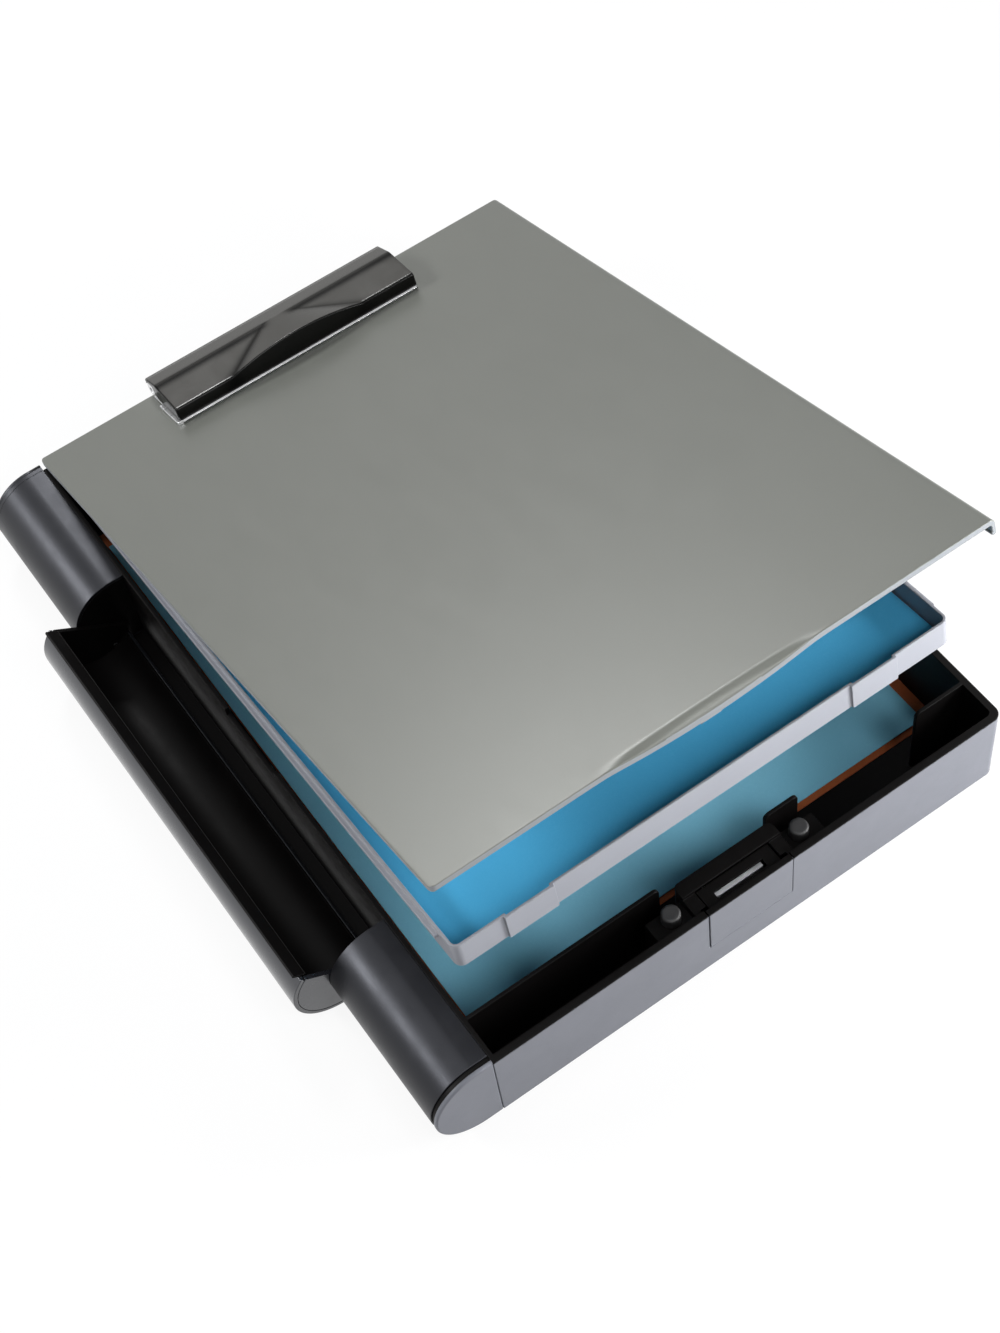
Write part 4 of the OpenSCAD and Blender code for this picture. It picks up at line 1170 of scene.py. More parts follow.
@dataclass
class Clip:
    """Sprung clip: base plate, bent glossy cover with painted shade in its creases, pin, torsion spring and
    rivets.
    """

    left: float = 56.5
    width: float = 119.5
    depth: float = 31.0
    rear: float = 338.7
    board_top: float = 44.2
    plate_t: float = 1.8
    back_h: float = 8.8
    crease_h: float = 10.6
    end_h: float = 7.5
    mid_h: float = 12.0
    crease_d: float = 11.0
    wall: float = 1.1
    gap: float = 0.2
    mid_at: float = 60.7
    half_back: float = 5.7
    half_front: float = 32.5
    pin_d: float = 3.6
    pin_n: float = 4.3
    pin_r: float = 1.5
    pin_inset: float = 0.5
    barrel_r: float = 3.4
    wire_r: float = 0.4
    coil_r: float = 2.15
    coils: int = 7
    coil_pitch: float = 1.15
    leg: float = 14.0
    leg_clear: float = 0.05
    rivet_inset: float = 24.0
    rivet_d: float = 20.2
    end_opening_d: float = 8.0
    roll_r: float = 0.8
    roll_degrees: tuple[float, ...] = (0.0, 22.5, 45.0, 67.5, 90.0)
    crease_rows: tuple[float, ...] = (-0.7, -0.25, 0.25, 0.7)
    front_rows: int = 24
    columns: int = 155
    sheet_edge: float = 1.2
    lug_inset: float = 14.0
    lug_w: float = 3.6
    plate_shift: float = -0.4
    foot_out: float = 1.7
    foot_in: float = 1.0
    foot_d: float = 18.0
    # These sizes shape the bands of painted shade on the cover's creases; the last two set its strength on
    # the left and the right.
    fold_w: float = 2.2
    fold_spread: float = 3.2
    fold_back: float = 1.9
    fold_gap: float = 6.0
    fold_shade_left: float = 0.9
    fold_shade_right: float = 0.6
    painted_sheen_level: float = 0.95

    def height(self, along: float, depth: float) -> float:
        """Height of the cover's top above the board.

        Args:
            along: Distance from the clip's left end.
            depth: Distance from its back edge.

        Returns:
            The height.
        """
        if depth <= self.crease_d:
            return self.back_h + (self.crease_h - self.back_h) * depth / self.crease_d
        share = (depth - self.crease_d) / (self.depth - self.crease_d)
        half = self.half_back + (self.half_front - self.half_back) * share
        rise = 1 - min(1.0, abs(along - self.mid_at) / half) ** 2
        edge = self.end_h + (self.mid_h - self.end_h) * rise
        return self.crease_h + (edge - self.crease_h) * share

    def point(self, along: float, depth: float, height: float) -> tuple[float, float, float]:
        """A point of the clip in shut millimetres."""
        return self.left + along, self.rear - depth, self.board_top + height

    def cover(self) -> Draft:
        """Cover as a bent sheet: top, rolled front edge, front wall and end walls."""
        radius = self.roll_r
        foot = self.plate_t + self.gap
        turns = [math.radians(a) for a in self.roll_degrees]
        depths = spread(0.0, self.crease_d - 2, 5) + [self.crease_d + r for r in self.crease_rows]
        depths += spread(self.crease_d + 1.5, self.depth - radius, self.front_rows)
        ends = [radius * (1 - math.cos(a)) for a in turns]
        alongs = ends + spread(2.0, self.width - 2.0, self.columns)
        alongs += [self.width - e for e in reversed(ends)]
        loops = []
        for along in alongs:
            near = min(along, self.width - along)
            sunk = radius - math.sqrt(radius ** 2 - (radius - near) ** 2) if near < radius else 0.0
            outer = [(0.0, self.height(along, 0.0) - sunk - self.sheet_edge)]
            outer += [(d, self.height(along, d) - sunk) for d in depths]
            brow = self.height(along, self.depth) - sunk
            flat = self.depth - sunk
            outer += [(flat - radius + radius * math.sin(a), brow - radius + radius * math.cos(a))
                      for a in turns[1:]]
            outer.append((flat, foot))
            loops.append([(along, d, n) for d, n in outer])
        for at, loop in ((0, loops[0]), (len(loops) + 1, loops[-1])):
            skirt = [(a, d, min(n, self.back_h - self.wall) if d < self.end_opening_d else foot)
                     for a, d, n in loop]
            loops.insert(at, skirt)
        count = len(loops[0])
        points = [self.point(*p) for loop in loops for p in loop]
        faces = [(i * count + j, i * count + j + 1, (i + 1) * count + j + 1, (i + 1) * count + j)
                 for i in range(len(loops) - 1) for j in range(count - 1)]
        return Draft().faces_from(points, faces)

    def build(self, finishes: Finishes, shop: NodeShop) -> None:
        """Builds and dresses the clip's pieces."""
        pose = LAYOUT.pose(Body.LID)
        self.build_cover(finishes, pose)
        plate = moulded_copy("clip_plate", "clip_base_plate")
        front, end = self.rear - self.depth, self.left + self.width
        shifted(plate, pose, (self.left - 1, front - 1), (end + 1, front + 1), (0, self.plate_shift))
        foot = Draft().block((self.left - self.foot_out, front + self.plate_shift, self.board_top),
                             (self.left + self.foot_in, front + self.foot_d,
                              self.board_top + self.plate_t), 0.15)
        plate = joined(plate, foot.object("clip_plate_foot", pose))
        Piece(plate, finishes.chrome, Body.LID, Slot.STEEL, ("clip_base_plate",)).finish()
        long = self.width - 2 * self.pin_inset
        pin = Draft().lathe([(0.9, 0.0), (1.3, 0.12), (self.pin_r, 0.4), (self.pin_r, long - 0.4),
                             (1.3, long - 0.12), (0.9, long)],
                            self.point(self.pin_inset, self.pin_d, self.pin_n), "X")
        made = pin.object("clip_axle", pose)
        Piece(made, finishes.steel, Body.LID, Slot.STEEL, ("clip_pin",)).finish()
        spring = shop.wires("clip_torsion_spring", [self.spring_path()], self.wire_r, pose,
                            finishes.steel)
        Piece(spring, finishes.steel, Body.LID, Slot.STEEL, ("clip_spring",)).finish()
        self.build_rivets(finishes, shop, pose)

    def painted_fold_shade(self, along: float, depth: float) -> float:
        """Share of painted shade at a place on the cover, from 0 to 1: a band along the crease and bands
        down both sides of the arch.

        Args:
            along: Distance from the clip's left end.
            depth: Distance from its back edge.

        Returns:
            The share.
        """
        side = along - self.mid_at
        cross = (depth - self.crease_d - self.fold_back) / self.fold_w
        share = math.exp(-cross ** 2) * (1 - math.exp(-((side / self.fold_gap) ** 4)))
        if depth > self.crease_d:
            onward = (depth - self.crease_d) / (self.depth - self.crease_d)
            half = self.half_back + (self.half_front - self.half_back) * onward
            width = self.fold_w + self.fold_spread * onward
            for sign, strength in ((-1, self.fold_shade_left), (1, self.fold_shade_right)):
                off = side - sign * half
                share = max(share, strength * math.exp(-((off / width) ** 2)))
        return share

    def dress_cover(self, cover: Object, finishes: Finishes, pose: Matrix) -> None:
        """Marks the painted shade of the cover's creases on its points, and gives its upward faces a
        lighter grey copy of the black plastic as a painted reflection and its upright faces the black.
        """
        data = cover.data
        back = pose.inverted()
        marks = data.attributes.new(FOLD_SHADE_MASK, "FLOAT", "POINT")
        for vertex, mark in zip(data.vertices, marks.data):
            x, y, _ = back @ vertex.co
            # The mark is the share of painted shade at this point.
            mark.value = self.painted_fold_shade(x - self.left, self.rear - y)
        data.materials.append(finishes.gloss)
        data.materials.append(finishes.jet)
        # Painted reflection: upward faces take the lighter grey copy, upright faces keep the black.
        for face, level in zip(data.polygons, facing(cover, pose)):
            face.material_index = 0 if level > self.painted_sheen_level else 1

    def build_cover(self, finishes: Finishes, pose: Matrix) -> None:
        """Builds the glossy cover with its end walls and the lugs that hold the axle."""
        skin = self.cover().object("clip_cover", pose)
        widest = max(skin.data.polygons, key=lambda face: face.area)
        if widest.normal.z < 0:
            skin.data.flip_normals()
        solid = skin.modifiers.new("wall", "SOLIDIFY")
        solid.thickness = self.wall * MM
        solid.offset = -1.0
        bake(skin)
        rest = Draft()
        radius = self.barrel_r - 0.5
        for along in (self.lug_inset, self.width - self.lug_inset - self.lug_w):
            centre = (self.rear - self.pin_d, self.board_top + self.pin_n)
            top = self.board_top + self.back_h - self.wall / 2
            lug = arc(centre, radius, 180, 360, 20) + [(centre[0] + radius, top), (centre[0] - radius, top)]
            start = self.left + along
            rest.absorb(Draft().run("X", lug, start, start + self.lug_w, 0.2))
        made = joined(skin, rest.object("clip_cover_walls", pose))
        self.dress_cover(made, finishes, pose)
        Piece(made, finishes.gloss, Body.CLIP, Slot.GLOSS_BLACK, ("clip_lever",)).finish()

    def spring_path(self) -> list[tuple[float, float, float]]:
        """Path of the torsion spring: a lower leg, the coils and an upper leg."""
        pitch = 2 * self.wire_r * self.coil_pitch
        turns = self.coils + 0.5
        start = self.width / 2 - pitch * turns / 2
        low = self.plate_t + self.wire_r + self.leg_clear - self.pin_n
        path = [(start, -self.leg, low), (start, -self.leg / 2, low), (start, -1.0, low)]
        path += [(start + along, a, -b) for a, b, along in helix(self.coil_r, pitch, turns)]
        end = start + pitch * turns
        path += [(end, -self.leg / 2, self.coil_r), (end, -self.leg, self.coil_r)]
        return [self.point(a, self.pin_d - y, self.pin_n + z) for a, y, z in path]

    def build_rivets(self, finishes: Finishes, shop: NodeShop, pose: Matrix) -> None:
        """Sets domed rivet heads on the plate and flat tails under the board."""
        head = Draft().lathe([(2.9, -0.05), (2.88, 0.2), (2.6, 0.5), (2.0, 0.72), (1.0, 0.8),
                              (0.2, 0.8)], (0, 0, 0), "Z", 32)
        tail = Draft().lathe([(0.7, -0.8), (1.0, -0.72), (2.7, -0.7), (2.9, -0.5), (2.9, 0.05)],
                             (0, 0, -self.plate_t - 2.6), "Z", 32)
        head.absorb(tail)
        places = [self.point(along, self.rivet_d, self.plate_t)
                  for along in (self.rivet_inset, self.width - self.rivet_inset)]
        rivets = shop.studs("clip_rivet_set", head, places, pose, finishes.steel)
        Piece(rivets, finishes.steel, Body.LID, Slot.STEEL, ("clip_rivets",)).finish()


# ---- Hinge ----


@dataclass
class Hinge:
    """Steel pin with three groups of four knuckles, shared by box, tray and lid."""

    radius: float = 2.6
    width: float = 9.0
    gap: float = 0.3
    pitch: float = 76.5
    pin_r: float = 1.2
    pin_head: float = 0.35
    wall_z: float = 31.0
    tray_wall_y: float = 332.0
    tray_top: float = 39.3
    lid_under: float = 41.6

    def left(self, group: int, index: int) -> float:
        """Left end of a knuckle."""
        return (LAYOUT.box_w / 2 + group * self.pitch + (index - 2) * (self.width + self.gap)
                + self.gap / 2)

    def knuckles(self, name: str, outline: Sequence[Point2], indexes: Sequence[int], pose: Matrix,
                 shop: NodeShop, material: Material) -> Object:
        """Repeats one knuckle in every group.

        Args:
            name: Name of the piece.
            outline: Its section in Y and Z.
            indexes: Which of the four places it takes.
            pose: Placement of its body.
            shop: Geometry Nodes trees.
            material: Its finish.

        Returns:
            The object.
        """
        centred = [(y - LAYOUT.hinge_y, z - LAYOUT.hinge_z) for y, z in outline]
        master = Draft().run("X", centred, 0.0, self.width, 0.25)
        places = [(self.left(group, i), LAYOUT.hinge_y, LAYOUT.hinge_z)
                  for group in (-1, 0, 1) for i in indexes]
        return shop.studs(name, master, places, pose, material)

    def build(self, finishes: Finishes, shop: NodeShop) -> None:
        """Builds and dresses the pin and the knuckles."""
        y, z, r = LAYOUT.hinge_y, LAYOUT.hinge_z, self.radius
        base = arc((y, z), r, 0, 180, 24) + [(y - r, self.wall_z - 5), (y + 0.9, self.wall_z - 5),
                                             (y + 0.9, self.wall_z), (y - 0.3, self.wall_z + 1.5),
                                             (y - 0.3, z - r + 0.1), (y + r * 0.5, z - r * 0.85)]
        tray = arc((y, z), r, -90, 90, 24) + [(y, self.tray_top), (self.tray_wall_y, self.tray_top),
                                              (self.tray_wall_y, z - r)]
        tray = [p for p in tray if p[1] <= self.tray_top + 0.01 or p[0] > y]
        lid = arc((y, z), r, 180, 360, 24) + [(y + r, self.lid_under + 0.3),
                                              (y - r, self.lid_under + 0.3)]
        for name, outline, indexes, finish, body, slot in (
                ("hinge_box_knuckles", base, (0, 3), finishes.black, Body.BASE, Slot.BLACK),
                ("hinge_tray_knuckles", tray, (1,), finishes.pale, Body.TRAY, Slot.PALE),
                ("hinge_lid_knuckles", lid, (2,), finishes.lid, Body.LID, Slot.LID)):
            made = self.knuckles(name, outline, indexes, LAYOUT.pose(body), shop, finish)
            Piece(made, finish, body, slot).finish()
        start, end = self.left(-1, 0), self.left(1, 3) + self.width
        p, head, long = self.pin_r, self.pin_r + self.pin_head, end - start
        pin = Draft().lathe([(0.5, -0.35), (p, -0.3), (head, -0.1), (head, 0.0), (p, 0.1),
                             (p, long - 0.1), (head, long), (head, long + 0.1), (p, long + 0.3),
                             (0.5, long + 0.35)], (start, y, z), "X")
        Piece(pin.object("hinge_rod", LAYOUT.shut()), finishes.steel, Body.BASE, Slot.STEEL,
              ("hinge_pin",)).finish()


# ---- Box, tray and cards ----


@dataclass
class Box:
    """Silver outer shell with its black liner, and the dividers of the front bays."""

    edge_mm: float = 0.35
    liner_edge_mm: float = 0.3

    def build(self, finishes: Finishes, shop: NodeShop) -> None:
        """Builds and dresses the shell and the liner."""
        shell = moulded_copy("box_shell", "outer_shell")
        Piece(shell, finishes.shell, Body.BASE, Slot.SHELL, ("outer_shell",), self.edge_mm).finish()
        liner = moulded_copy("box_liner", "inner_tub")
        Piece(liner, finishes.black, Body.BASE, Slot.BLACK, ("inner_tub",),
              self.liner_edge_mm).finish()


@dataclass
class Tray:
    """Shallow lift-up tray with side rails and two jogs in its front wall."""

    edge_mm: float = 0.3
    jog_low: Point2 = (178.0, 20.0)
    jog_high: Point2 = (210.0, 27.0)
    jog_shift: Point2 = (-4.5, 0.0)

    def build(self, finishes: Finishes, shop: NodeShop) -> None:
        """Builds and dresses the tray."""
        made = moulded_copy("lift_tray", "middle_tray")
        shifted(made, LAYOUT.pose(Body.TRAY), self.jog_low, self.jog_high, self.jog_shift)
        Piece(made, finishes.pale, Body.TRAY, Slot.PALE, ("middle_tray",), self.edge_mm).finish()


@dataclass
class Card:
    """Letter-size or larger card that lies nearly flat, with a little lift along its edges."""

    name: str
    node: str
    left: float
    front: float
    width: float
    depth: float
    under: float
    thickness: float = 0.5
    lift: float = 0.9
    seed: float = 0.0
    steepness: int = 6
    columns: int = 40
    rows: int = 52

    def rise(self, u: float, v: float) -> float:
        """Lift of the card off its bed at a place from 0 to 1 across and along it."""
        edge = max(abs(2 * u - 1), abs(2 * v - 1))
        wave = 0.5 + 0.5 * math.sin(5.1 * u + 3.7 * v + self.seed) * math.cos(4.3 * v - 2.2 * u)
        return self.lift * (edge ** self.steepness) * wave

    def build(self, finish: Material, body: Body, slot: Slot) -> None:
        """Builds and dresses the card.

        Args:
            finish: Its material.
            body: Body that it rides on.
            slot: Material slot of the record.
        """
        points: list[tuple[float, float, float]] = []
        for top in (0, 1):
            for j in range(self.rows + 1):
                for i in range(self.columns + 1):
                    u, v = i / self.columns, j / self.rows
                    z = self.under + top * self.thickness + self.rise(u, v)
                    points.append((self.left + u * self.width, self.front + v * self.depth, z))
        wide, layer = self.columns + 1, (self.columns + 1) * (self.rows + 1)
        faces: list[tuple[int, ...]] = []
        for j in range(self.rows):
            for i in range(self.columns):
                a = j * wide + i
                faces.append((a, a + wide, a + wide + 1, a + 1))
                faces.append((layer + a, layer + a + 1, layer + a + wide + 1, layer + a + wide))
        rim = list(range(wide))
        rim += [j * wide + self.columns for j in range(1, self.rows + 1)]
        rim += [self.rows * wide + i for i in range(self.columns - 1, -1, -1)]
        rim += [j * wide for j in range(self.rows - 1, 0, -1)]
        for a, b in zip(rim, rim[1:] + rim[:1]):
            faces.append((a, b, layer + b, layer + a))
        made = Draft().faces_from(points, faces).object(self.name, LAYOUT.pose(body))
        Piece(made, finish, body, slot, (self.node,)).finish()


# ---- Pen tube and trough ----


@dataclass
class PenTube:
    """Round-backed tube down the side: front and back lengths, caps, recessed rings, bulkheads."""

    centre_x: float = -6.3
    centre_z: float = 20.5
    radius: float = 20.5
    wall: float = 1.8
    front_l: float = 71.0
    back_l: float = 73.0
    cap_t: float = 1.8
    cap_edge: float = 0.15
    cap_r: float = 0.9
    ring_w: float = 2.0
    recess: float = 0.7
    back_recess: float = 0.03
    plug_l: float = 5.0
    plug_gap: float = 0.1
    bulkhead_t: float = 1.6
    pin_r: float = 1.0
    pin_gap: float = 0.05
    steps: int = 72

    @property
    def bore(self) -> float:
        """Inner radius of the tube."""
        return self.radius - self.wall

    def half_round(self, radius: float) -> list[Point2]:
        """D-shaped outline: round on the left, cut off upright at the side of the box."""
        c = (self.centre_x, self.centre_z)
        return [(0.0, c[1] + radius), *arc(c, radius, 90, 270, self.steps), (0.0, c[1] - radius)]

    def channel(self, outer: float, inner: float) -> list[Point2]:
        """C-shaped wall outline between two radii, open at the side of the box."""
        return self.half_round(outer) + self.half_round(inner)[::-1]

    def domed_cap(self, y0: float, y1: float, outward: float) -> Draft:
        """End cap with a softly rounded rim.

        Args:
            y0: Its inner face.
            y1: Its outer face.
            outward: 1 where the outer face has the larger Y, otherwise -1.

        Returns:
            The draft.
        """
        outline = self.half_round(self.radius)
        loops = [(y0, self.cap_edge), (y0 + outward * self.cap_edge, 0.0)]
        loops += [(y1 - outward * along, depth) for along, depth in reversed(rounding(self.cap_r, 5))]
        points = [[(x, y, z) for x, z in inset(outline, depth)] for y, depth in loops]
        return Draft().skin(points)

    def build(self, finishes: Finishes, shop: NodeShop) -> None:
        """Builds and dresses the tube."""
        shut = LAYOUT.shut()
        deep = LAYOUT.box_d
        wall_start = self.cap_t + self.ring_w
        for side, (y0, y1, wall_y) in {
                "front": (wall_start, self.front_l, self.front_l - self.bulkhead_t),
                "back": (deep - self.back_l, deep - wall_start, deep - self.back_l)}.items():
            profile = self.channel(self.radius, self.bore)
            tube = shop.sections(f"tube_{side}_sleeve", [(profile, y0, y1)], shut, finishes.charcoal)
            plate = Draft().pierced_plate(self.half_round(self.bore + 0.01), LAYOUT.pivot,
                                          self.pin_r + self.pin_gap, wall_y,
                                          wall_y + self.bulkhead_t)
            bulkhead = plate.object(f"tube_{side}_bulkhead", shut)
            Piece(tube, finishes.charcoal, Body.BASE, Slot.CHARCOAL, (f"tube_{side}_shell",), 0.3,
                  3).finish()
            Piece(bulkhead, finishes.black, Body.BASE, Slot.BLACK, (), 0.15).finish()
        front = self.domed_cap(self.cap_t, 0.0, -1.0).object("tube_front_end_cap", shut)
        back = self.domed_cap(deep - self.cap_t, deep, 1.0).object("tube_back_end_cap", shut)
        Piece(front, finishes.shell, Body.BASE, Slot.SHELL, ("tube_front_cap",)).finish()
        Piece(back, finishes.charcoal, Body.BASE, Slot.CHARCOAL, ("tube_back_cap",)).finish()
        plug = self.channel(self.bore - self.plug_gap, self.bore - self.wall)
        for side, y, plug_y, recess, finish in (
                ("front", self.cap_t, wall_start, self.recess, finishes.black),
                ("back", deep - wall_start, deep - wall_start - self.plug_l, self.back_recess,
                 finishes.charcoal)):
            ring = self.half_round(self.radius - recess)
            made = shop.sections(f"tube_{side}_groove", [(ring, y, y + self.ring_w),
                                                         (plug, plug_y, plug_y + self.plug_l)],
                                 shut, finish)
            Piece(made, finish, Body.BASE, Slot.BLACK, (f"tube_{side}_ring",), 0.1).finish()


@dataclass
class Trough:
    """Pen trough that swings out of the tube: outer shell, bin with its lip, end plates, pins."""

    tube: PenTube = field(default_factory=PenTube)
    gap: float = 0.3
    plate_t: float = 2.0
    bin_gap: float = 0.1
    bin_wall: float = 1.1
    mouth: float = 3.3
    lip_t: float = 1.2
    lip_rise: float = 2.8
    lip_r: float = 0.5
    lip_turn: float = 60.0
    end_deg: float = 265.0

    def wall(self, outer: float, inner: float) -> list[Point2]:
        """Curved wall between two radii, flat towards the mouth."""
        c = (self.tube.centre_x, self.tube.centre_z)
        mouth_x = c[0] + self.mouth
        outside = [(mouth_x, c[1] + outer)] + arc(c, outer, 90, self.end_deg, 72)
        return outside + arc(c, inner, self.end_deg, 90, 72) + [(mouth_x, c[1] + inner)]

    def build(self, finishes: Finishes, shop: NodeShop) -> None:
        """Builds and dresses the trough."""
        tube = self.tube
        pose = LAYOUT.pose(Body.TROUGH)
        y0 = tube.front_l + self.gap
        y1 = LAYOUT.box_d - tube.back_l - self.gap
        # The outer wall takes the lighter charcoal copy, a painted reflection.
        shell = shop.sections("trough_outer_wall", [(self.wall(tube.radius, tube.bore), y0, y1)],
                              pose, finishes.trough)
        Piece(shell, finishes.trough, Body.TROUGH, Slot.CHARCOAL, ("trough_shell",), 0.35,
              3).finish()
        outer = tube.bore - self.bin_gap
        inner = outer - self.bin_wall
        mouth_x = tube.centre_x + self.mouth
        top = LAYOUT.box_h + self.lip_rise
        lining = self.wall(outer, inner)
        head = fillet([(mouth_x + self.lip_t, tube.centre_z + inner), (mouth_x + self.lip_t, top),
                       (mouth_x, top), (mouth_x, tube.centre_z + outer)], self.lip_r, 4,
                      self.lip_turn)
        lining = head[1:-1] + [(mouth_x, tube.centre_z + outer)] + lining[1:-1]
        lining.append((mouth_x + self.lip_t, tube.centre_z + inner))
        bin_wall = shop.sections("trough_lining", [(lining, y0 + self.plate_t, y1 - self.plate_t)],
                                 pose, finishes.black)
        Piece(bin_wall, finishes.black, Body.TROUGH, Slot.BLACK, ("trough_bin",), 0.12).finish()
        cut = math.degrees(math.acos(self.mouth / outer))
        disc = arc((tube.centre_x, tube.centre_z), outer, cut, 360 - cut, 80)
        # The front end plate takes the lighter charcoal copy, a painted reflection; the back plate takes
        # the black.
        for side, start, finish in (("front", y0, finishes.trough),
                                    ("back", y1 - self.plate_t, finishes.black)):
            plate = Draft().pierced_plate(disc, LAYOUT.pivot, tube.pin_r, start,
                                          start + self.plate_t)
            made = plate.object(f"trough_{side}_end", pose)
            Piece(made, finish, Body.TROUGH, Slot.CHARCOAL, (f"trough_{side}_plate",), 0.3).finish()
        pins = Draft()
        reach = tube.bulkhead_t - 0.1
        for start, end in ((tube.front_l - reach, y0 + self.plate_t),
                           (y1 - self.plate_t, LAYOUT.box_d - tube.back_l + reach)):
            profile = [(0.7, 0.0), (tube.pin_r, 0.3), (tube.pin_r, end - start - 0.3),
                       (0.7, end - start)]
            pins.absorb(Draft().lathe(profile, (LAYOUT.pivot[0], start, LAYOUT.pivot[1]), "Y", 32))
        Piece(pins.object("trough_pivot_pins", pose), finishes.steel, Body.TROUGH, Slot.STEEL,
              ("trough_pins",)).finish()


# ---- Latch ----


@dataclass
class Latch:
    """Push latch: housing, sprung carrier with its push plate and catch slider, two bumpers."""

    x: float = 114.0
    post_offset: float = 29.4
    post_y: float = 9.6
    post_r: float = 3.8
    ledge_z: float = 35.0
    post_top: float = 40.4
    spring_offset: float = 9.0
    spring_y: float = 12.0
    spring_room: float = 3.6
    spring_z: float = 26.4
    coil_r: float = 2.2
    coils: int = 3
    wire_r: float = 0.4
    travel: float = 1.5
    seam_low: Point2 = (90.0, -1.0)
    seam_high: Point2 = (98.0, 5.0)
    seam_shift: Point2 = (0.35, 0.0)

    def build(self, finishes: Finishes, shop: NodeShop) -> None:
        """Builds and dresses the latch."""
        shut = LAYOUT.shut()
        for name, node, finish, body, slot in (
                ("latch_frame", "latch_housing", finishes.black, Body.BASE, Slot.BLACK),
                ("latch_carriage", "button_carrier", finishes.black, Body.BUTTON, Slot.BLACK),
                ("latch_push_plate", "button_face", finishes.shell, Body.BUTTON, Slot.SHELL),
                ("latch_catch_bar", "latch_slider", finishes.bright, Body.BUTTON, Slot.PALE)):
            made = moulded_copy(name, node)
            if node == "button_face":
                shifted(made, shut, self.seam_low, self.seam_high, self.seam_shift)
            Piece(made, finish, body, slot, (node,), 0.25).finish()
        self.build_posts(finishes, shop, shut)
        coil = helix(self.coil_r, self.spring_room / self.coils, self.coils)
        paths = [[(self.x + side * self.spring_offset + a, self.spring_y + self.wire_r + along,
                   self.spring_z + b) for a, b, along in coil] for side in (-1, 1)]
        made = shop.wires("latch_coil_springs", paths, self.wire_r, shut, finishes.steel)
        spring = Piece(made, finishes.steel, Body.BASE, Slot.STEEL, ("latch_springs",)).finish()
        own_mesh(spring)

    def build_posts(self, finishes: Finishes, shop: NodeShop, shut: Matrix) -> None:
        """Sets the two rubber bumpers on the ledges."""
        r, tall = self.post_r, self.post_top - self.ledge_z
        profile = [(r - 0.25, 0.0), (r, 0.25), (r, tall - 0.9), (r - 0.12, tall - 0.5),
                   (r - 0.45, tall - 0.15), (r - 0.8, tall), (r - 1.3, tall), (0.3, tall - 0.05)]
        post = Draft().lathe(profile, (0, 0, 0), "Z", 40)
        places = [(self.x + side * self.post_offset, self.post_y, self.ledge_z) for side in (-1, 1)]
        made = shop.studs("latch_bumper_set", post, places, shut, finishes.rubber)
        Piece(made, finishes.rubber, Body.BASE, Slot.RUBBER, ("bumper_posts",)).finish()


# ---- Studio ----


@dataclass(frozen=True)
class Softbox:
    """Rectangular lamp that looks at the object."""

    name: str
    place: tuple[float, float, float]
    target: tuple[float, float, float]
    size: tuple[float, float]
    watts: float

    def build(self) -> None:
        """Hangs the lamp."""
        data = bpy.data.lights.new(self.name, "AREA")
        data.shape = "RECTANGLE"
        data.size, data.size_y = self.size
        data.energy = self.watts
        lamp = placed(self.name, data)
        lamp.location = self.place
        aim = Vector(self.target) - Vector(self.place)
        lamp.rotation_euler = aim.to_track_quat("-Z", "Y").to_euler()
        lamp.visible_camera = False


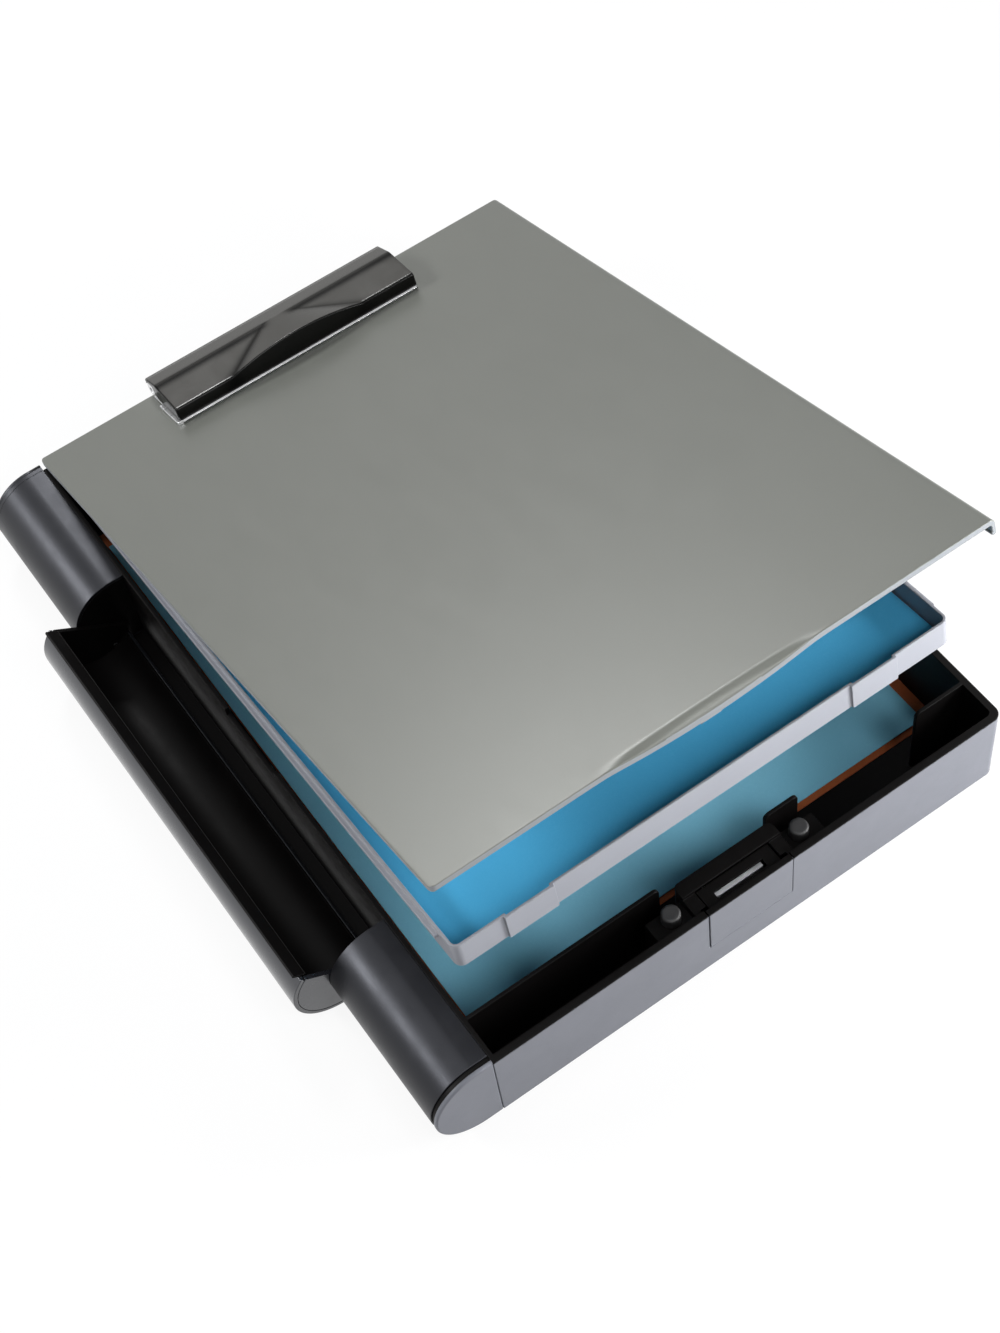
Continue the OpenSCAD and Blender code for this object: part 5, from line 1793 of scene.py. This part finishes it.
@dataclass
class Studio:
    """Camera, lamps, pale world and pale floor."""

    position: Vector = field(default_factory=lambda: Vector((-0.23964, -0.47616, 0.78649)))
    forward: Vector = field(default_factory=lambda: Vector((0.24543, 0.49359, -0.83435)))
    right: Vector = field(default_factory=lambda: Vector((0.81869, -0.56644, -0.09427)))
    lens: float = 62.06
    sensor: float = 36.0
    world_strength: float = 0.07
    world_colour: Colour = (0.96, 0.98, 1.0)
    floor_reach: float = 6.0
    floor_white: float = 0.9
    floor_colour: Colour = srgb(228, 228, 230)
    softboxes: tuple[Softbox, ...] = (
        Softbox("rear_softbox", (0.335, 1.251, 1.3), (0.0, 0.0, 0.05), (0.36, 0.36), 14.5),
        Softbox("rear_left_softbox", (-1.228, 0.798, 0.878), (-0.13, 0.0, 0.03), (0.7, 0.34), 18.0),
        Softbox("front_softbox", (0.134, -0.955, 1.149), (0.0, 0.0, 0.0), (0.5, 0.5), 7.5),
        Softbox("front_right_lamp", (0.38, -0.4, 0.2), (0.08, -0.17, 0.03), (0.22, 0.2), 4.3),
        Softbox("high_left_softbox", (-0.36, 0.0, 1.559), (0.0, 0.0, 0.0), (0.5, 0.9), 7.0),
    )

    def build(self) -> None:
        """Sets up the studio."""
        scene = bpy.context.scene
        scene.view_settings.view_transform = "Standard"
        camera = bpy.data.cameras.new("camera")
        camera.lens, camera.sensor_width, camera.sensor_fit = self.lens, self.sensor, "AUTO"
        camera.clip_start, camera.clip_end = 0.02, 50.0
        made = placed("camera", camera)
        forward = self.forward.normalized()
        right = (self.right - self.right.dot(forward) * forward).normalized()
        up = right.cross(forward)
        made.matrix_world = Matrix((
            (right.x, up.x, -forward.x, self.position.x), (right.y, up.y, -forward.y, self.position.y),
            (right.z, up.z, -forward.z, self.position.z), (0, 0, 0, 1)))
        scene.camera = made
        for box in self.softboxes:
            box.build()
        self.build_world()
        self.build_floor()

    @staticmethod
    def seen_directly(tree: NodeTree) -> NodeSocket:
        """Share of a ray that should meet the plain background: camera, glossy or transmitted."""
        path = tree.nodes.new("ShaderNodeLightPath")
        share = path.outputs["Is Camera Ray"]
        for name in ("Is Glossy Ray", "Is Transmission Ray"):
            more = tree.nodes.new("ShaderNodeMath")
            more.operation = "MAXIMUM"
            tree.links.new(share, more.inputs[0])
            tree.links.new(path.outputs[name], more.inputs[1])
            share = more.outputs[0]
        return share

    @staticmethod
    def mixed(tree: NodeTree, share: NodeSocket, usual: str, seen: str, end: str) -> bpy.types.Node:
        """Ends a tree in a mix of two shaders.

        Args:
            tree: The tree.
            share: Share of the second shader.
            usual: Type of the first shader.
            seen: Type of the second shader, which stays white.
            end: Type of the output node.

        Returns:
            The first shader.
        """
        first, second, mix, out = (tree.nodes.new("ShaderNode" + kind)
                                   for kind in (usual, seen, "MixShader", end))
        second.inputs["Color"].default_value = (1.0, 1.0, 1.0, 1.0)
        for source, target in ((share, mix.inputs[0]), (first.outputs[0], mix.inputs[1]),
                               (second.outputs[0], mix.inputs[2]), (mix.outputs[0], out.inputs["Surface"])):
            tree.links.new(source, target)
        return first

    def build_world(self) -> None:
        """Pale world: white where it is seen, softer as a lamp."""
        world = bpy.data.worlds.new("pale_world")
        world.use_nodes = True
        tree = world.node_tree
        tree.nodes.clear()
        soft = self.mixed(tree, self.seen_directly(tree), "Background", "Background", "OutputWorld")
        soft.inputs["Color"].default_value = (*self.world_colour, 1.0)
        soft.inputs["Strength"].default_value = self.world_strength
        bpy.context.scene.world = world

    def build_floor(self) -> None:
        """Wide pale floor that keeps a soft shadow of the object."""
        data = bpy.data.meshes.new("studio_floor")
        r = self.floor_reach
        data.from_pydata([(-r, -r, 0), (r, -r, 0), (r, r, 0), (-r, r, 0)], [], [(0, 1, 2, 3)])
        floor = placed("studio_floor", data)
        material = bpy.data.materials.new("pale_floor")
        material.use_nodes = True
        tree = material.node_tree
        tree.nodes.clear()
        share = tree.nodes.new("ShaderNodeMath")
        share.operation = "MULTIPLY"
        share.inputs[1].default_value = self.floor_white
        tree.links.new(self.seen_directly(tree), share.inputs[0])
        matt = self.mixed(tree, share.outputs[0], "BsdfDiffuse", "Emission", "OutputMaterial")
        matt.inputs["Color"].default_value = (*self.floor_colour, 1.0)
        data.materials.append(material)


def main() -> None:
    """Builds the studio, then the object's sub-assemblies in order, then the cards."""
    logging.basicConfig(level=logging.INFO, format="%(name)s: %(message)s")
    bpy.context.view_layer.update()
    finishes, shop = Finishes(), NodeShop()
    Studio().build()
    for part in (Box(), PenTube(), Trough(), Latch(), Tray(), Hinge(), Lid(), Clip()):
        LOG.info("building %s", type(part).__name__)
        part.build(finishes, shop)
    Card("tray_card", "tray_liner_card", 7.45, 24.0, 216.0, 279.0, 28.1).build(
        finishes.blue_card, Body.TRAY, Slot.BLUE_CARD)
    Card("base_card", "base_liner_card", 8.6, 33.0, 216.0, 279.0, 3.3, seed=1.7).build(
        finishes.deep_card, Body.BASE, Slot.BLUE_CARD)
    Card("base_brown_card", "base_under_card", 8.2, 30.5, 221.5, 290.0, 2.8, lift=0.0).build(
        finishes.brown_card, Body.BASE, Slot.BROWN_CARD)


if __name__ == "__main__":
    main()
